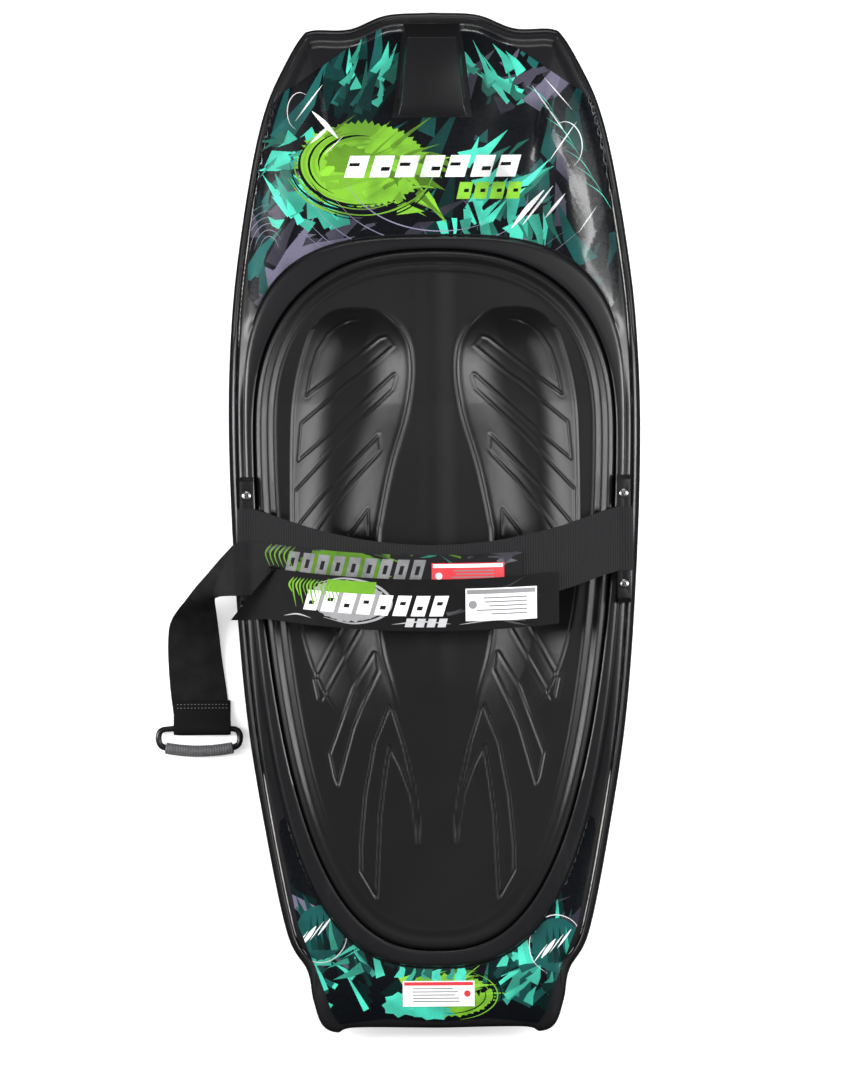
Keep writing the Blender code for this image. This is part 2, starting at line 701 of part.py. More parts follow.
def build_strap_tail(webbing, cuff_cloth):
    counts = [1] * (len(TAIL_OUTER) - 1)
    outer = smooth_curve(TAIL_OUTER, counts)
    inner = smooth_curve(TAIL_INNER, counts)
    ribbon("strap_tail", list(zip(outer, inner)), TAIL_THICKNESS, webbing)

    right, left = CUFF_XS
    sections = [(Vector((right, y, z)), Vector((left, y, z))) for y, z in CUFF_LOOP]
    ribbon("tail_cuff", sections, CUFF_THICKNESS, cuff_cloth)


# --- Handle ------------------------------------------------------------------

def tube(name, path, radius, sides, material, closed=False):
    """A round bar along a flat path that lies level."""
    rows = []
    count = len(path)
    for index, point in enumerate(path):
        ahead = path[(index + 1) % count if closed else min(index + 1, count - 1)]
        behind = path[index - 1 if closed or index else 0]
        along = (ahead - behind).normalized()
        across = along.cross(Vector((0.0, 0.0, 1.0)))
        rows.append([point + radius * (math.cos(turn) * across + math.sin(turn) * Vector((0, 0, 1)))
                     for turn in (2 * math.pi * (side + 0.5) / sides for side in range(sides))])
    return add_object(name, loft(rows, closed_run=closed), material)


def handle_outer_y(x):
    """The outer bar bows away from the strap."""
    left, right = HANDLE_ENDS
    share = (x - (left + right) / 2) / ((right - left) / 2)
    return HANDLE_OUTER_Y + 0.006 * share ** 2


def build_handle(black, rubber):
    left, right = HANDLE_ENDS
    corner = HANDLE_CORNER
    path = [Vector((x, HANDLE_BAR_Y, HANDLE_Z)) for x in spread(left + corner, right - corner, 4)]
    outer_end = handle_outer_y(right - corner)
    path.append(Vector((right - HANDLE_BEND, HANDLE_BAR_Y - 0.003, HANDLE_Z)))
    path.append(Vector((right, HANDLE_BAR_Y - corner, HANDLE_Z)))
    path.append(Vector((right, outer_end + corner, HANDLE_Z)))
    path.append(Vector((right - HANDLE_BEND, outer_end + HANDLE_BEND, HANDLE_Z)))
    bow = spread(right - corner, left + corner, 8)
    path += [Vector((x, handle_outer_y(x), HANDLE_Z)) for x in bow]
    path.append(Vector((left + HANDLE_BEND, outer_end + HANDLE_BEND, HANDLE_Z)))
    path.append(Vector((left, outer_end + corner, HANDLE_Z)))
    path.append(Vector((left, HANDLE_BAR_Y - corner, HANDLE_Z)))
    path.append(Vector((left + HANDLE_BEND, HANDLE_BAR_Y - 0.003, HANDLE_Z)))
    tube("handle_frame", path, HANDLE_TUBE, 10, black, closed=True)

    line = [Vector((x, handle_outer_y(x), HANDLE_Z)) for x in bow]
    grip = tube("handle_grip", line, GRIP_RADIUS, 12, rubber)
    long_line = [2 * line[0] - line[1]] + line + [2 * line[-1] - line[-2]]
    bore = make_cutter(tube("grip_bore", long_line, HANDLE_TUBE + 0.0005, 10, None))
    boolean(grip, bore)


# --- Assembly ----------------------------------------------------------------

def build():
    clear_scene()
    black = make_material("black_polyethylene", (0.018, 0.018, 0.020), 0.42)
    foam = make_material("white_foam", (0.75, 0.74, 0.70), 0.90)
    pad = make_material("black_eva", (0.014, 0.014, 0.015), 0.62)
    film = make_material("printed_film", (0.020, 0.050, 0.050), 0.15)
    label = make_material("white_label", (0.85, 0.85, 0.84), 0.45)
    steel = make_material("stainless_steel", (0.60, 0.60, 0.61), 0.28, 1.0)
    brass = make_material("brass", (0.70, 0.52, 0.22), 0.35, 1.0)
    webbing = make_material("charcoal_webbing", (0.022, 0.022, 0.024), 0.85)
    band = make_material("black_neoprene", (0.006, 0.006, 0.007), 0.70)
    nap = make_material("hook_and_loop", (0.012, 0.012, 0.013), 0.95)
    red = make_material("red_label", (0.55, 0.02, 0.03), 0.50)
    rubber = make_material("grey_rubber", (0.060, 0.060, 0.065), 0.60)

    deck, core = build_board(black, foam, film, label)
    build_pad(pad)
    deck_cutter = make_cutter(add_object("deck_surface", loft(around_board(deck_cutter_run))))
    build_tow_hook(deck, core, deck_cutter, black, steel)
    build_anchor(-1, "left", deck, core, deck_cutter, black, steel, brass)
    build_anchor(1, "right", deck, core, deck_cutter, black, steel, brass)
    build_straps(webbing, band, nap, red, label)
    build_strap_tail(webbing, band)
    build_handle(black, rubber)


build()
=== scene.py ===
"""A towed kneeboard, built piece by piece over its CAD frame.

The board lies flat, deck up. +X is the rider's right, +Y points to the nose and
+Z is up, in metres, with the origin at the middle of the hull's flat bottom.
"""

import math
import random

import bmesh
import bpy
import numpy as np
from bpy.props import FloatProperty, FloatVectorProperty, IntProperty, PointerProperty
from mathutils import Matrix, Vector
from mathutils.bvhtree import BVHTree
from mathutils.geometry import delaunay_2d_cdt


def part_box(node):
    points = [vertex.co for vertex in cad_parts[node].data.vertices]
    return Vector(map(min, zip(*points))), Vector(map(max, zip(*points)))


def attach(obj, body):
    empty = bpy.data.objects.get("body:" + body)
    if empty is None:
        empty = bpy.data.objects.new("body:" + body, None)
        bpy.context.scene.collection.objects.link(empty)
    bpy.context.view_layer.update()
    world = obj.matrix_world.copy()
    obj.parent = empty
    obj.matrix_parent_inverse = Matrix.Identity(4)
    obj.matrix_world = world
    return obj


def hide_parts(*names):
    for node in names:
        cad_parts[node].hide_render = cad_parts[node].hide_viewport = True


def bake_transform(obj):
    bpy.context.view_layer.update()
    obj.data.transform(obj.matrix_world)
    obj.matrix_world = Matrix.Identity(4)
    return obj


bl_info = {
    "name": "Kneeboard",
    "version": (1, 0, 0),
    "blender": (4, 5, 0),
    "location": "View3D > Sidebar > Kneeboard",
    "description": "Builds a towed kneeboard piece by piece over its CAD frame",
    "category": "Object",
}

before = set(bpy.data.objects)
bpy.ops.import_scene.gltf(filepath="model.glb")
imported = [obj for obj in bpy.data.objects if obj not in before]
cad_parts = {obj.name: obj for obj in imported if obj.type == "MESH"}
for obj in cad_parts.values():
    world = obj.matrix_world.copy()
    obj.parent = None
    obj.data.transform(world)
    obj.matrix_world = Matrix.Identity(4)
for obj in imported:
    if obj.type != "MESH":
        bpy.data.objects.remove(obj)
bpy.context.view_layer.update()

# --- The board's shape, as in its CAD source ---------------------------------

WALL = 0.003
OUTLINE = [
    (0.000, 0.640), (0.057, 0.637), (0.103, 0.620), (0.149, 0.619),
    (0.165, 0.609), (0.187, 0.572), (0.208, 0.526), (0.225, 0.462),
    (0.242, 0.363), (0.254, 0.260), (0.259, 0.130), (0.254, -0.040),
    (0.240, -0.230), (0.217, -0.383), (0.190, -0.515), (0.165, -0.562),
    (0.158, -0.598), (0.147, -0.630), (0.128, -0.640), (0.105, -0.634),
    (0.000, -0.635),
]
CENTRE_Y = -0.050
ROCKER = [(-0.640, 0.016), (-0.450, 0.005), (-0.280, 0.0), (0.200, 0.0),
          (0.420, 0.010), (0.640, 0.045)]
HULL_DEPTH = [(-0.640, 0.026), (-0.300, 0.040), (0.200, 0.040), (0.640, 0.020)]
RAIL_RISE = [(-0.640, 0.018), (-0.300, 0.030), (0.200, 0.030), (0.640, 0.016)]
RAIL_WIDTH = [(-0.640, 0.009), (-0.300, 0.015), (0.200, 0.015), (0.640, 0.009)]
RING_FOOT = [(-0.560, 0.064), (-0.200, 0.071), (0.150, 0.071), (0.360, 0.084)]
RING_HEIGHT = 0.009
DECK_CROWN = 0.012
CROWN_SPAN = 0.280
FLOOR_Z = 0.042
CHINE = 0.034
EGG_Y = 0.115
PAD_EGG = (0.226, 0.227, 0.650, 2.4, 1.90, 0.55)
RING_EGG = (0.240, 0.245, 0.673, 3.1, 1.90, 0.75)

# The rail's moulded detail: a notch parts the hood's twin beads from the bevel.
NOTCH_Y = 0.227
TWIN_BEADS = (0.0035, 0.0078)
RAIL_GROOVE_INSET = 0.0112
HOOD_WALL = (0.0135, 0.0260)
HOOD_START = (0.232, 0.262)
BEVEL_BAND = (0.0020, 0.0080)

# Printed films, right half of each outline.
NOSE_FILM = [(0.000, 0.626), (0.035, 0.624), (0.064, 0.6175), (0.084, 0.608),
             (0.108, 0.592), (0.139, 0.570), (0.170, 0.549), (0.188, 0.539),
             (0.203, 0.522), (0.218, 0.460), (0.226, 0.385), (0.232, 0.320),
             (0.231, 0.285), (0.222, 0.268), (0.000, 0.268)]
TAIL_FILM = [(0.000, -0.366), (0.190, -0.366), (0.197, -0.372), (0.198, -0.388),
             (0.190, -0.429), (0.175, -0.504), (0.150, -0.567), (0.133, -0.615),
             (0.124, -0.628), (0.065, -0.621), (0.000, -0.625)]
TAIL_LABEL = (0.0, -0.590, 0.090, 0.032)
HOOK_WINDOW = [(0.036, 0.632), (0.0505, 0.506), (-0.0505, 0.506), (-0.036, 0.632)]

# Edges of the knee wells and paths of the pressed channels, right half of the pad.
WELL_INNER = [(0.102, 0.270), (0.076, 0.268), (0.060, 0.260), (0.044, 0.244), (0.034, 0.226),
              (0.030, 0.206), (0.030, 0.180), (0.034, 0.152), (0.040, 0.126), (0.048, 0.100),
              (0.056, 0.072), (0.064, 0.036), (0.070, 0.004), (0.073, -0.016), (0.075, -0.096),
              (0.069, -0.156), (0.058, -0.199), (0.046, -0.243)]
WELL_OUTER = [(0.102, 0.270), (0.124, 0.267), (0.142, 0.256), (0.155, 0.236), (0.166, 0.202),
              (0.172, 0.176), (0.176, 0.148), (0.178, 0.112), (0.179, 0.052), (0.179, -0.006),
              (0.177, -0.070), (0.168, -0.130), (0.150, -0.190), (0.120, -0.240), (0.080, -0.262)]
CHANNELS = [
    [(0.160, 0.161), (0.154, 0.192), (0.146, 0.216), (0.134, 0.236), (0.122, 0.247),
     (0.108, 0.254), (0.096, 0.256)],
    [(0.160, 0.161), (0.068, 0.232), (0.060, 0.234), (0.051, 0.222), (0.092, 0.188),
     (0.110, 0.176), (0.167, 0.126), (0.171, 0.079), (0.050, 0.188), (0.047, 0.183),
     (0.052, 0.168), (0.112, 0.112), (0.175, 0.041), (0.175, -0.006), (0.140, 0.038),
     (0.070, 0.111), (0.068, 0.092), (0.073, 0.085), (0.104, 0.052), (0.136, 0.012),
     (0.160, -0.024)],
    [(0.108, -0.014), (0.084, 0.018), (0.083, -0.015)],
    [(0.115, -0.124), (0.153, -0.195), (0.148, -0.219), (0.144, -0.221), (0.096, -0.135)],
    [(0.078, -0.162), (0.104, -0.206), (0.134, -0.288), (0.128, -0.318), (0.124, -0.327),
     (0.104, -0.255), (0.093, -0.229), (0.072, -0.184), (0.075, -0.163), (0.078, -0.162)],
    [(0.059, -0.228), (0.078, -0.275), (0.090, -0.339), (0.096, -0.403), (0.096, -0.436),
     (0.077, -0.469), (0.076, -0.459), (0.072, -0.367), (0.065, -0.313), (0.059, -0.279),
     (0.045, -0.306), (0.032, -0.341), (0.026, -0.382), (0.024, -0.400), (0.023, -0.372),
     (0.029, -0.331), (0.042, -0.275), (0.055, -0.234), (0.059, -0.228)],
]

# Straps.
BAR_X = 0.2355
BAR_Y = -0.021
BAR_WIDTH = 0.0165
BAR_TOP = 0.0935
BAR_THICKNESS = 0.006
LOOP_GAP = 0.0008
ARCH_FOOT_X = 0.222
ARCH_FOOT_Z = 0.0975
ARCH_RISE = 0.0575
ARCH_POWER = 2.2
CLOTH_GAP = 0.0006
STRAP_THICKNESS = 0.003
BAND_THICKNESS = 0.0022
PATCH_THICKNESS = 0.0010
BASE_STRAP = dict(width=0.080, end_y=-0.021, mid_y=-0.0675)
PULL_STRAP = dict(width=0.068, end_y=-0.055, mid_y=-0.074)
CLOSURE = dict(width=0.064, end_y=-0.084, mid_y=-0.102)
PATCHES = dict(width=0.030, end_y=-0.069, mid_y=-0.090)
PULL_LABEL = dict(width=0.032, end_y=-0.060, mid_y=-0.066)
CLOSURE_LABEL = dict(width=0.040, end_y=-0.092, mid_y=-0.102)
PULL_OFFSET = STRAP_THICKNESS / 2 + CLOTH_GAP + BAND_THICKNESS / 2
PATCH_OFFSET = PULL_OFFSET + BAND_THICKNESS / 2 + CLOTH_GAP + PATCH_THICKNESS / 2
CLOSURE_OFFSET = PATCH_OFFSET + 2 * CLOTH_GAP + 1.5 * PATCH_THICKNESS + BAND_THICKNESS / 2
LABEL_LIFT = BAND_THICKNESS / 2 + 0.0004
TAIL_OUTER = [(-0.2505, -0.0240, 0.0984), (-0.2665, -0.0413, 0.0925), (-0.2850, -0.0620, 0.0760),
              (-0.3000, -0.0776, 0.0600), (-0.3150, -0.0950, 0.0420), (-0.3270, -0.1090, 0.0250),
              (-0.3350, -0.1220, 0.0120), (-0.3385, -0.1400, 0.0048), (-0.3390, -0.1700, 0.0020),
              (-0.3366, -0.2090, 0.0015), (-0.3320, -0.2465, 0.0015)]
TAIL_INNER = [(-0.2505, -0.0892, 0.0984), (-0.2600, -0.0893, 0.0945), (-0.2680, -0.0895, 0.0865),
              (-0.2730, -0.0897, 0.0760), (-0.2762, -0.0900, 0.0660), (-0.2775, -0.0960, 0.0520),
              (-0.2765, -0.1100, 0.0330), (-0.2745, -0.1330, 0.0140), (-0.2710, -0.1690, 0.0045),
              (-0.2655, -0.2090, 0.0015), (-0.2612, -0.2465, 0.0015)]
CUFF_XS = (-0.2605, -0.3325)
CUFF_LOOP = [(-0.2220, 0.0046), (-0.2380, 0.0056), (-0.2480, 0.0108), (-0.2555, 0.0137),
             (-0.2622, 0.0127), (-0.2652, 0.0078), (-0.2625, 0.0030), (-0.2560, 0.0014),
             (-0.2485, 0.0014)]
HANDLE_ENDS = (-0.352, -0.2485)
HANDLE_OUTER_Y = -0.286
HANDLE_Z = 0.0077
GRIP_RADIUS = 0.0075
RIB_DEPTH = 0.0009
CUFF_SEAM = (-0.2272, 0.0064)
CLOTH_EDGE = 0.55           # a strap's edge as a share of its thickness
STITCH_RADIUS = 0.00045
STITCH_PITCH = 0.0042
PRINT_LEAN = -0.30          # lean of the blocks printed on the straps
CLOSURE_PRINT_X = 0.152     # where the closure band's print begins
CLOSURE_STRETCH = 1.035     # length along the arch for a distance across the board
NO_LENGTH = 1e-9            # guards a division by the length of a vector

# Fins under the tail: middle, size, and the keel's share of the root in X and Y.
FIN_MIDDLE = (0.095, -0.535, 0.0090)
FIN_SIZE = (0.008, 0.130, 0.012)
FIN_TAPER = (0.45, 0.75)
FIN_KEEL_Z = 0.0030

# Anchor screws: the rim's depth and drop below the top, then the rise and share of the
# radius of each step up the cap, and down under the head to the shank.
SCREW_RIM_DEPTH = 0.0011
SCREW_RIM_DROP = 0.00225
SCREW_CAP = ((0.0006, 0.90), (0.0006, 0.78), (0.0005, 0.55))
SCREW_SHANK = ((0.0, 0.42), (-0.030, 1.0), (-0.004, 0.2))
SCREW_SLOT = (0.0011, 0.0026)
SCREW_TURN = 0.4


# --- Sizes and colours that a user may change --------------------------------

def length(name, default, text):
    return FloatProperty(name=name, description=text, default=default, min=0.0, unit="LENGTH")


def colour(name, default, text):
    return FloatVectorProperty(name=name, description=text, default=default, size=3, min=0.0,
                               max=1.0, subtype="COLOR")


class KneeboardSizes(bpy.types.PropertyGroup):
    """Sizes of the board's moulded and sewn detail."""
    well_depth: length("Knee well depth", 0.026, "Depth of the two knee wells in the pad")
    channel_depth: length("Channel depth", 0.0013, "Depth of the channels pressed into the pad")
    channel_width: length("Channel width", 0.0012, "Half-width of the pressed channels")
    border_bulge: length("Border bulge", 0.0026, "Rise of the rounded border round the pad")
    hood_rise: length("Hood rise", 0.005, "Step of the nose hood above the rail")
    rail_groove: length("Rail groove", 0.0045, "Depth of the groove along the rail")
    bead_height: length("Bead height", 0.0013, "Height of the twin beads on the nose rail")
    film_thickness: length("Film thickness", 0.0005, "Thickness of the printed films and labels")
    grip_ribs: IntProperty(name="Grip ribs", description="Moulded ribs along the handle grip",
                           default=26, min=4, max=60)


class KneeboardColours(bpy.types.PropertyGroup):
    """Colours of the board's materials and prints."""
    shell: colour("Shell", (0.0075, 0.0075, 0.0085), "Moulded polyethylene shell")
    pad: colour("Pad", (0.0055, 0.0055, 0.0060), "Closed-cell foam pad")
    webbing: colour("Webbing", (0.0115, 0.0115, 0.0125), "Woven base strap")
    band: colour("Band", (0.0022, 0.0022, 0.0026), "Closure band and strap end")
    teal: colour("Teal", (0.045, 0.50, 0.36), "Bright shards of the print")
    deep_teal: colour("Deep teal", (0.004, 0.060, 0.056), "Dark shards of the print")
    lavender: colour("Lavender", (0.085, 0.080, 0.120), "Grey-lavender shards of the print")
    lime: colour("Lime", (0.17, 0.42, 0.022), "Splash on the print")
    paper: colour("Paper", (0.82, 0.82, 0.81), "Labels and white strokes of the print")
    ink: colour("Ink", (0.0025, 0.0030, 0.0045), "Dark ground of the print")
    red: colour("Red", (0.55, 0.02, 0.03), "Red label and its rules")
    grip: colour("Grip", (0.075, 0.075, 0.080), "Rubber grip of the handle")
    floor: colour("Floor", (0.90, 0.90, 0.90), "Studio floor")


def sizes():
    return bpy.context.scene.kneeboard_sizes


def colours():
    return bpy.context.scene.kneeboard_colours


# --- Materials ---------------------------------------------------------------

class Value:
    """A shader value that takes part in Python arithmetic."""

    def __init__(self, finish, socket):
        self.finish = finish
        self.socket = socket

    def combine(self, operation, first, second):
        return self.finish.node("ShaderNodeMath", {"operation": operation}, {0: first, 1: second})

    def __add__(self, other):
        return self.combine("ADD", self, other)

    def __radd__(self, other):
        return self.combine("ADD", other, self)

    def __mul__(self, other):
        return self.combine("MULTIPLY", self, other)

    def __rmul__(self, other):
        return self.combine("MULTIPLY", other, self)


class Finish:
    """One named material, built round a Principled shader."""

    def __init__(self, name, base, roughness, **constants):
        self.material = bpy.data.materials.new(name)
        self.material.use_nodes = True
        self.tree = self.material.node_tree
        self.shader = self.tree.nodes["Principled BSDF"]
        self.feed("Base Color", (*base, 1.0))
        self.feed("Roughness", roughness)
        for socket, value in constants.items():
            self.feed(socket.replace("_", " ").title().replace("Ior", "IOR"), value)
        self.material.diffuse_color = (*base, 1.0)

    def plug(self, socket, value):
        if isinstance(value, Value):
            self.tree.links.new(value.socket, socket)
        else:
            socket.default_value = value

    def feed(self, name, value):
        self.plug(self.shader.inputs[name], value)

    def node(self, kind, settings=None, inputs=None, output=0):
        """Add any node: its settings first, then the values or links of its sockets."""
        made = self.tree.nodes.new(kind)
        for key, value in (settings or {}).items():
            setattr(made, key, value)
        for key, value in (inputs or {}).items():
            self.plug(made.inputs[key], value)
        return Value(self, made.outputs[output])

    def place(self, stretch=(1.0, 1.0, 1.0)):
        """Positions on the object, scaled on each axis."""
        spot = self.node("ShaderNodeTexCoord", output="Object")
        return self.node("ShaderNodeMapping", {}, {"Vector": spot, "Scale": stretch})

    def noise(self, scale, detail=2.0, stretch=(1.0, 1.0, 1.0)):
        return self.node("ShaderNodeTexNoise", {},
                         {"Vector": self.place(stretch), "Scale": scale, "Detail": detail})

    def printed(self):
        """The colour of each printed face."""
        return self.node("ShaderNodeAttribute", {"attribute_name": "print"})

    def colour(self, factor, first, second):
        self.feed("Base Color", self.mix(factor, first, second))

    def ramp(self, value, low, high):
        """A soft step from 0 to 1 as a value rises from low to high."""
        return self.node("ShaderNodeMapRange", {"interpolation_type": "SMOOTHSTEP"},
                         {"Value": value, "From Min": low, "From Max": high})

    def mix(self, factor, first, second):
        """Blend two colours by a factor."""
        pair = [shade if isinstance(shade, Value) else (*shade, 1.0) for shade in (first, second)]
        return self.node("ShaderNodeMix", {"data_type": "RGBA"},
                         {0: factor, 6: pair[0], 7: pair[1]}, output=2)

    def wave(self, axis, pitch):
        """A smooth ripple from 0 to 1 along one axis of the UV map, with a pitch in metres."""
        spot = self.node("ShaderNodeTexCoord", output="UV")
        along = self.node("ShaderNodeSeparateXYZ", {}, {0: spot}, output=axis)
        turn = along * (math.tau / pitch)
        return self.node("ShaderNodeMath", {"operation": "SINE"}, {0: turn}) * 0.5 + 0.5

    def bump(self, height, strength, distance=0.001):
        raised = self.node("ShaderNodeBump", {},
                           {"Height": height, "Strength": strength, "Distance": distance})
        self.feed("Normal", raised)
        return self


def tinted(shade, gain):
    return tuple(min(1.0, part * gain) for part in shade)


def moulded_plastic(name, shade):
    """Rotomoulded polyethylene: a fine pebble, soft gloss and light scuffs."""
    finish = Finish(name, shade, 0.38, specular_ior_level=0.5)
    pebble = finish.noise(900.0, 3.0)
    cloud = finish.noise(9.0, 4.0)
    streaks = finish.ramp(finish.noise(60.0, 6.0, (1.0, 0.12, 1.0)), 0.60, 0.74)
    finish.colour(streaks * 0.35, shade, tinted(shade, 2.4))
    finish.feed("Roughness", 0.24 + 0.12 * cloud + 0.06 * pebble)
    return finish.bump(pebble, 0.10, 0.0006).material


def foam_pad(shade):
    """Closed-cell foam with a fine open grain, rubbed a little lighter in soft patches."""
    finish = Finish("foam_pad", shade, 0.5, specular_ior_level=0.45)
    grain = finish.noise(1500.0, 4.0)
    cloud = finish.noise(7.0, 3.0)
    wear = finish.ramp(cloud, 0.45, 0.75)
    finish.colour(wear * 0.4, shade, tinted(shade, 1.4))
    finish.feed("Roughness", 0.30 + 0.07 * cloud + 0.06 * grain)
    return finish.bump(grain, 0.22, 0.0006).material


def glossy_print(name, gloss):
    """A printed plastic film: the colours of its faces under a clear gloss."""
    finish = Finish(name, (0.5, 0.5, 0.5), 0.3, coat_weight=gloss, coat_roughness=0.09)
    ink = finish.printed()
    cloud = finish.noise(16.0, 2.0)
    finish.colour(finish.ramp(cloud, 0.42, 0.64) * 0.45, ink, (0.002, 0.004, 0.005))
    finish.feed("Roughness", 0.22 + 0.12 * finish.noise(180.0, 3.0))
    return finish.bump(finish.noise(22.0, 2.0), 0.05, 0.002).material


def woven_print(name, wash):
    """Cloth with its own print, faded by a shade of grey, over a plain weave."""
    finish = Finish(name, (0.5, 0.5, 0.5), 0.8, specular_ior_level=0.22)
    ink = finish.printed()
    weave = finish.wave(0, 0.0011) * finish.wave(1, 0.0011)
    fade = finish.ramp(finish.noise(55.0, 4.0), 0.30, 0.75)
    finish.colour(fade * wash, ink, (0.010, 0.010, 0.011))
    finish.feed("Roughness", 0.70 + 0.15 * weave)
    return finish.bump(weave, 0.28, 0.0004).material


def ribbed_webbing(shade):
    """Heavy webbing: ribs across its width, with painted shade in the valleys between them and a
    painted highlight on their tops, and a slightly uneven dye.
    """
    finish = Finish("ribbed_webbing", shade, 0.8, specular_ior_level=0.22)
    rib = finish.wave(0, 0.0034)
    thread = finish.wave(1, 0.0012)
    dye = finish.noise(40.0, 4.0)
    # Colour follows the ribs' height: painted shade in the valleys, painted highlight on the tops,
    # plus the uneven dye.
    finish.colour(0.35 + 0.45 * rib + 0.2 * dye, tinted(shade, 0.5), tinted(shade, 1.3))
    finish.feed("Roughness", 0.72 + 0.16 * dye)
    return finish.bump(rib + 0.25 * thread, 0.55, 0.0010).material


def plain_cloth(name, shade, pitch):
    finish = Finish(name, shade, 0.85, specular_ior_level=0.22)
    weave = finish.wave(0, pitch) * finish.wave(1, pitch)
    fuzz = finish.noise(320.0, 3.0)
    finish.colour(fuzz, tinted(shade, 0.7), tinted(shade, 1.5))
    finish.feed("Roughness", 0.76 + 0.16 * fuzz)
    return finish.bump(weave + 0.4 * fuzz, 0.30, 0.0005).material


def napped_cloth(name, shade):
    """Hook-and-loop patch: a tangled nap."""
    finish = Finish(name, shade, 0.95, sheen_weight=0.4)
    nap = finish.noise(1100.0, 5.0)
    finish.colour(nap, tinted(shade, 0.4), tinted(shade, 2.2))
    finish.feed("Roughness", 0.86 + 0.10 * nap)
    return finish.bump(nap, 0.8, 0.0012).material


def printed_paper(name):
    """A label: its printed faces on smooth, faintly mottled paper."""
    finish = Finish(name, (0.8, 0.8, 0.8), 0.45)
    ink = finish.printed()
    mottle = finish.noise(70.0, 4.0)
    finish.colour(finish.ramp(mottle, 0.45, 0.8) * 0.12, ink, (0.25, 0.25, 0.26))
    finish.feed("Roughness", 0.40 + 0.15 * mottle)
    return finish.material


def metal(name, shade, roughness):
    """Turned metal with fine machining lines and dull spots."""
    finish = Finish(name, shade, roughness, metallic=1.0)
    lines = finish.noise(260.0, 2.0, (1.0, 1.0, 8.0))
    spots = finish.noise(300.0, 4.0)
    finish.colour(spots * 0.5, shade, tinted(shade, 0.7))
    finish.feed("Roughness", roughness + 0.18 * spots)
    return finish.bump(lines, 0.08, 0.0003).material


def bead_foam():
    """White expanded foam with visible beads."""
    finish = Finish("bead_foam", (0.75, 0.74, 0.70), 0.9)
    beads = finish.node("ShaderNodeTexVoronoi", {}, {"Vector": finish.place(), "Scale": 260.0})
    finish.colour(finish.ramp(beads, 0.0, 0.6), (0.80, 0.79, 0.75), (0.60, 0.59, 0.55))
    finish.feed("Roughness", 0.82 + 0.1 * beads)
    return finish.bump(beads, 0.3, 0.001).material


def rubber_grip(shade):
    """Grey moulded rubber with a dusty, worn surface."""
    finish = Finish("rubber_grip", shade, 0.6)
    dust = finish.noise(160.0, 5.0)
    finish.colour(dust, tinted(shade, 0.55), tinted(shade, 1.6))
    finish.feed("Roughness", 0.52 + 0.2 * dust)
    return finish.bump(dust, 0.2, 0.0006).material


def plain_back(name, shade):
    """The dull back and edges of a film or label."""
    finish = Finish(name, shade, 0.6)
    mottle = finish.noise(90.0, 3.0)
    finish.colour(mottle, tinted(shade, 0.7), tinted(shade, 1.2))
    return finish.material


# --- Making meshes and pieces ------------------------------------------------

def deselect():
    for item in list(bpy.context.selected_objects):
        item.select_set(False)


def make_active(piece):
    deselect()
    piece.select_set(True)
    bpy.context.view_layer.objects.active = piece


def smooth_by_angle(piece, degrees):
    make_active(piece)
    bpy.ops.object.shade_smooth_by_angle(angle=math.radians(degrees))


def new_piece(name, mesh, materials=()):
    piece = bpy.data.objects.new(name, mesh)
    bpy.context.scene.collection.objects.link(piece)
    for material in materials:
        mesh.materials.append(material)
    return piece


def apply_modifier(piece, kind, **settings):
    make_active(piece)
    modifier = piece.modifiers.new(kind.lower(), kind)
    for key, value in settings.items():
        setattr(modifier, key, value)
    bpy.ops.object.modifier_apply(modifier=modifier.name)


def mesh_of(name, points, faces, merge=True):
    """A mesh from points and faces, with its normals turned outwards."""
    mesh = bpy.data.meshes.new(name)
    mesh.from_pydata([tuple(point) for point in points], [], faces)
    bm = bmesh.new()
    bm.from_mesh(mesh)
    if merge:
        bmesh.ops.remove_doubles(bm, verts=bm.verts, dist=1e-6)
    bmesh.ops.recalc_face_normals(bm, faces=bm.faces)
    bm.to_mesh(mesh)
    bm.free()
    return mesh


def grid_quads(rows, columns, start=0, join_rows=False, join_columns=False):
    """Faces between neighbouring points of a grid, closed on itself where it is joined."""
    for row in range(rows if join_rows else rows - 1):
        here, above = start + row * columns, start + (row + 1) % rows * columns
        for column in range(columns if join_columns else columns - 1):
            beside = (column + 1) % columns
            yield here + column, here + beside, above + beside, above + column


def copy_of_node(name, node):
    """A cleaned copy of a CAD node, ready to be shaped in edit mode."""
    piece = bpy.data.objects.new(name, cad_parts[node].data.copy())
    piece.data.materials.clear()
    bpy.context.scene.collection.objects.link(piece)
    make_active(piece)
    bpy.ops.object.mode_set(mode="EDIT")
    bpy.ops.mesh.select_all(action="SELECT")
    bpy.ops.mesh.remove_doubles(threshold=1e-5)
    bpy.ops.mesh.dissolve_limited(angle_limit=math.radians(2.0))
    bpy.ops.object.mode_set(mode="OBJECT")
    return piece


def finish_piece(piece, node, body="board", material=None):
    """Hand a finished piece over to the frame in place of its CAD node."""
    if material:
        piece.data.materials.append(material)
    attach(piece, body)
    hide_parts(node)
    return piece


# --- Curves and sections -----------------------------------------------------

def at_station(stations, position):
    """Read a value from a list of stations, on straight lines between them."""
    places, values = zip(*stations)
    return np.interp(position, places, values)


def smooth_steps(value, low, high):
    share = np.clip((value - low) / (high - low), 0.0, 1.0)
    return share * share * (3 - 2 * share)


def hump(value, middle, width):
    return np.exp(-((value - middle) / width) ** 2)


def smooth_curve(points, steps):
    """A Catmull-Rom curve through points, with the same steps in each span."""
    points = np.array(points, float)
    padded = np.vstack([2 * points[0] - points[1], points, 2 * points[-1] - points[-2]])
    curve = []
    for index in range(len(points) - 1):
        before, start, end, after = padded[index:index + 4]
        for t in np.arange(steps) / steps:
            curve.append(0.5 * (2 * start + (end - before) * t
                                + (2 * before - 5 * start + 4 * end - after) * t ** 2
                                + (3 * start - before - 3 * end + after) * t ** 3))
    return np.array(curve + [points[-1]])


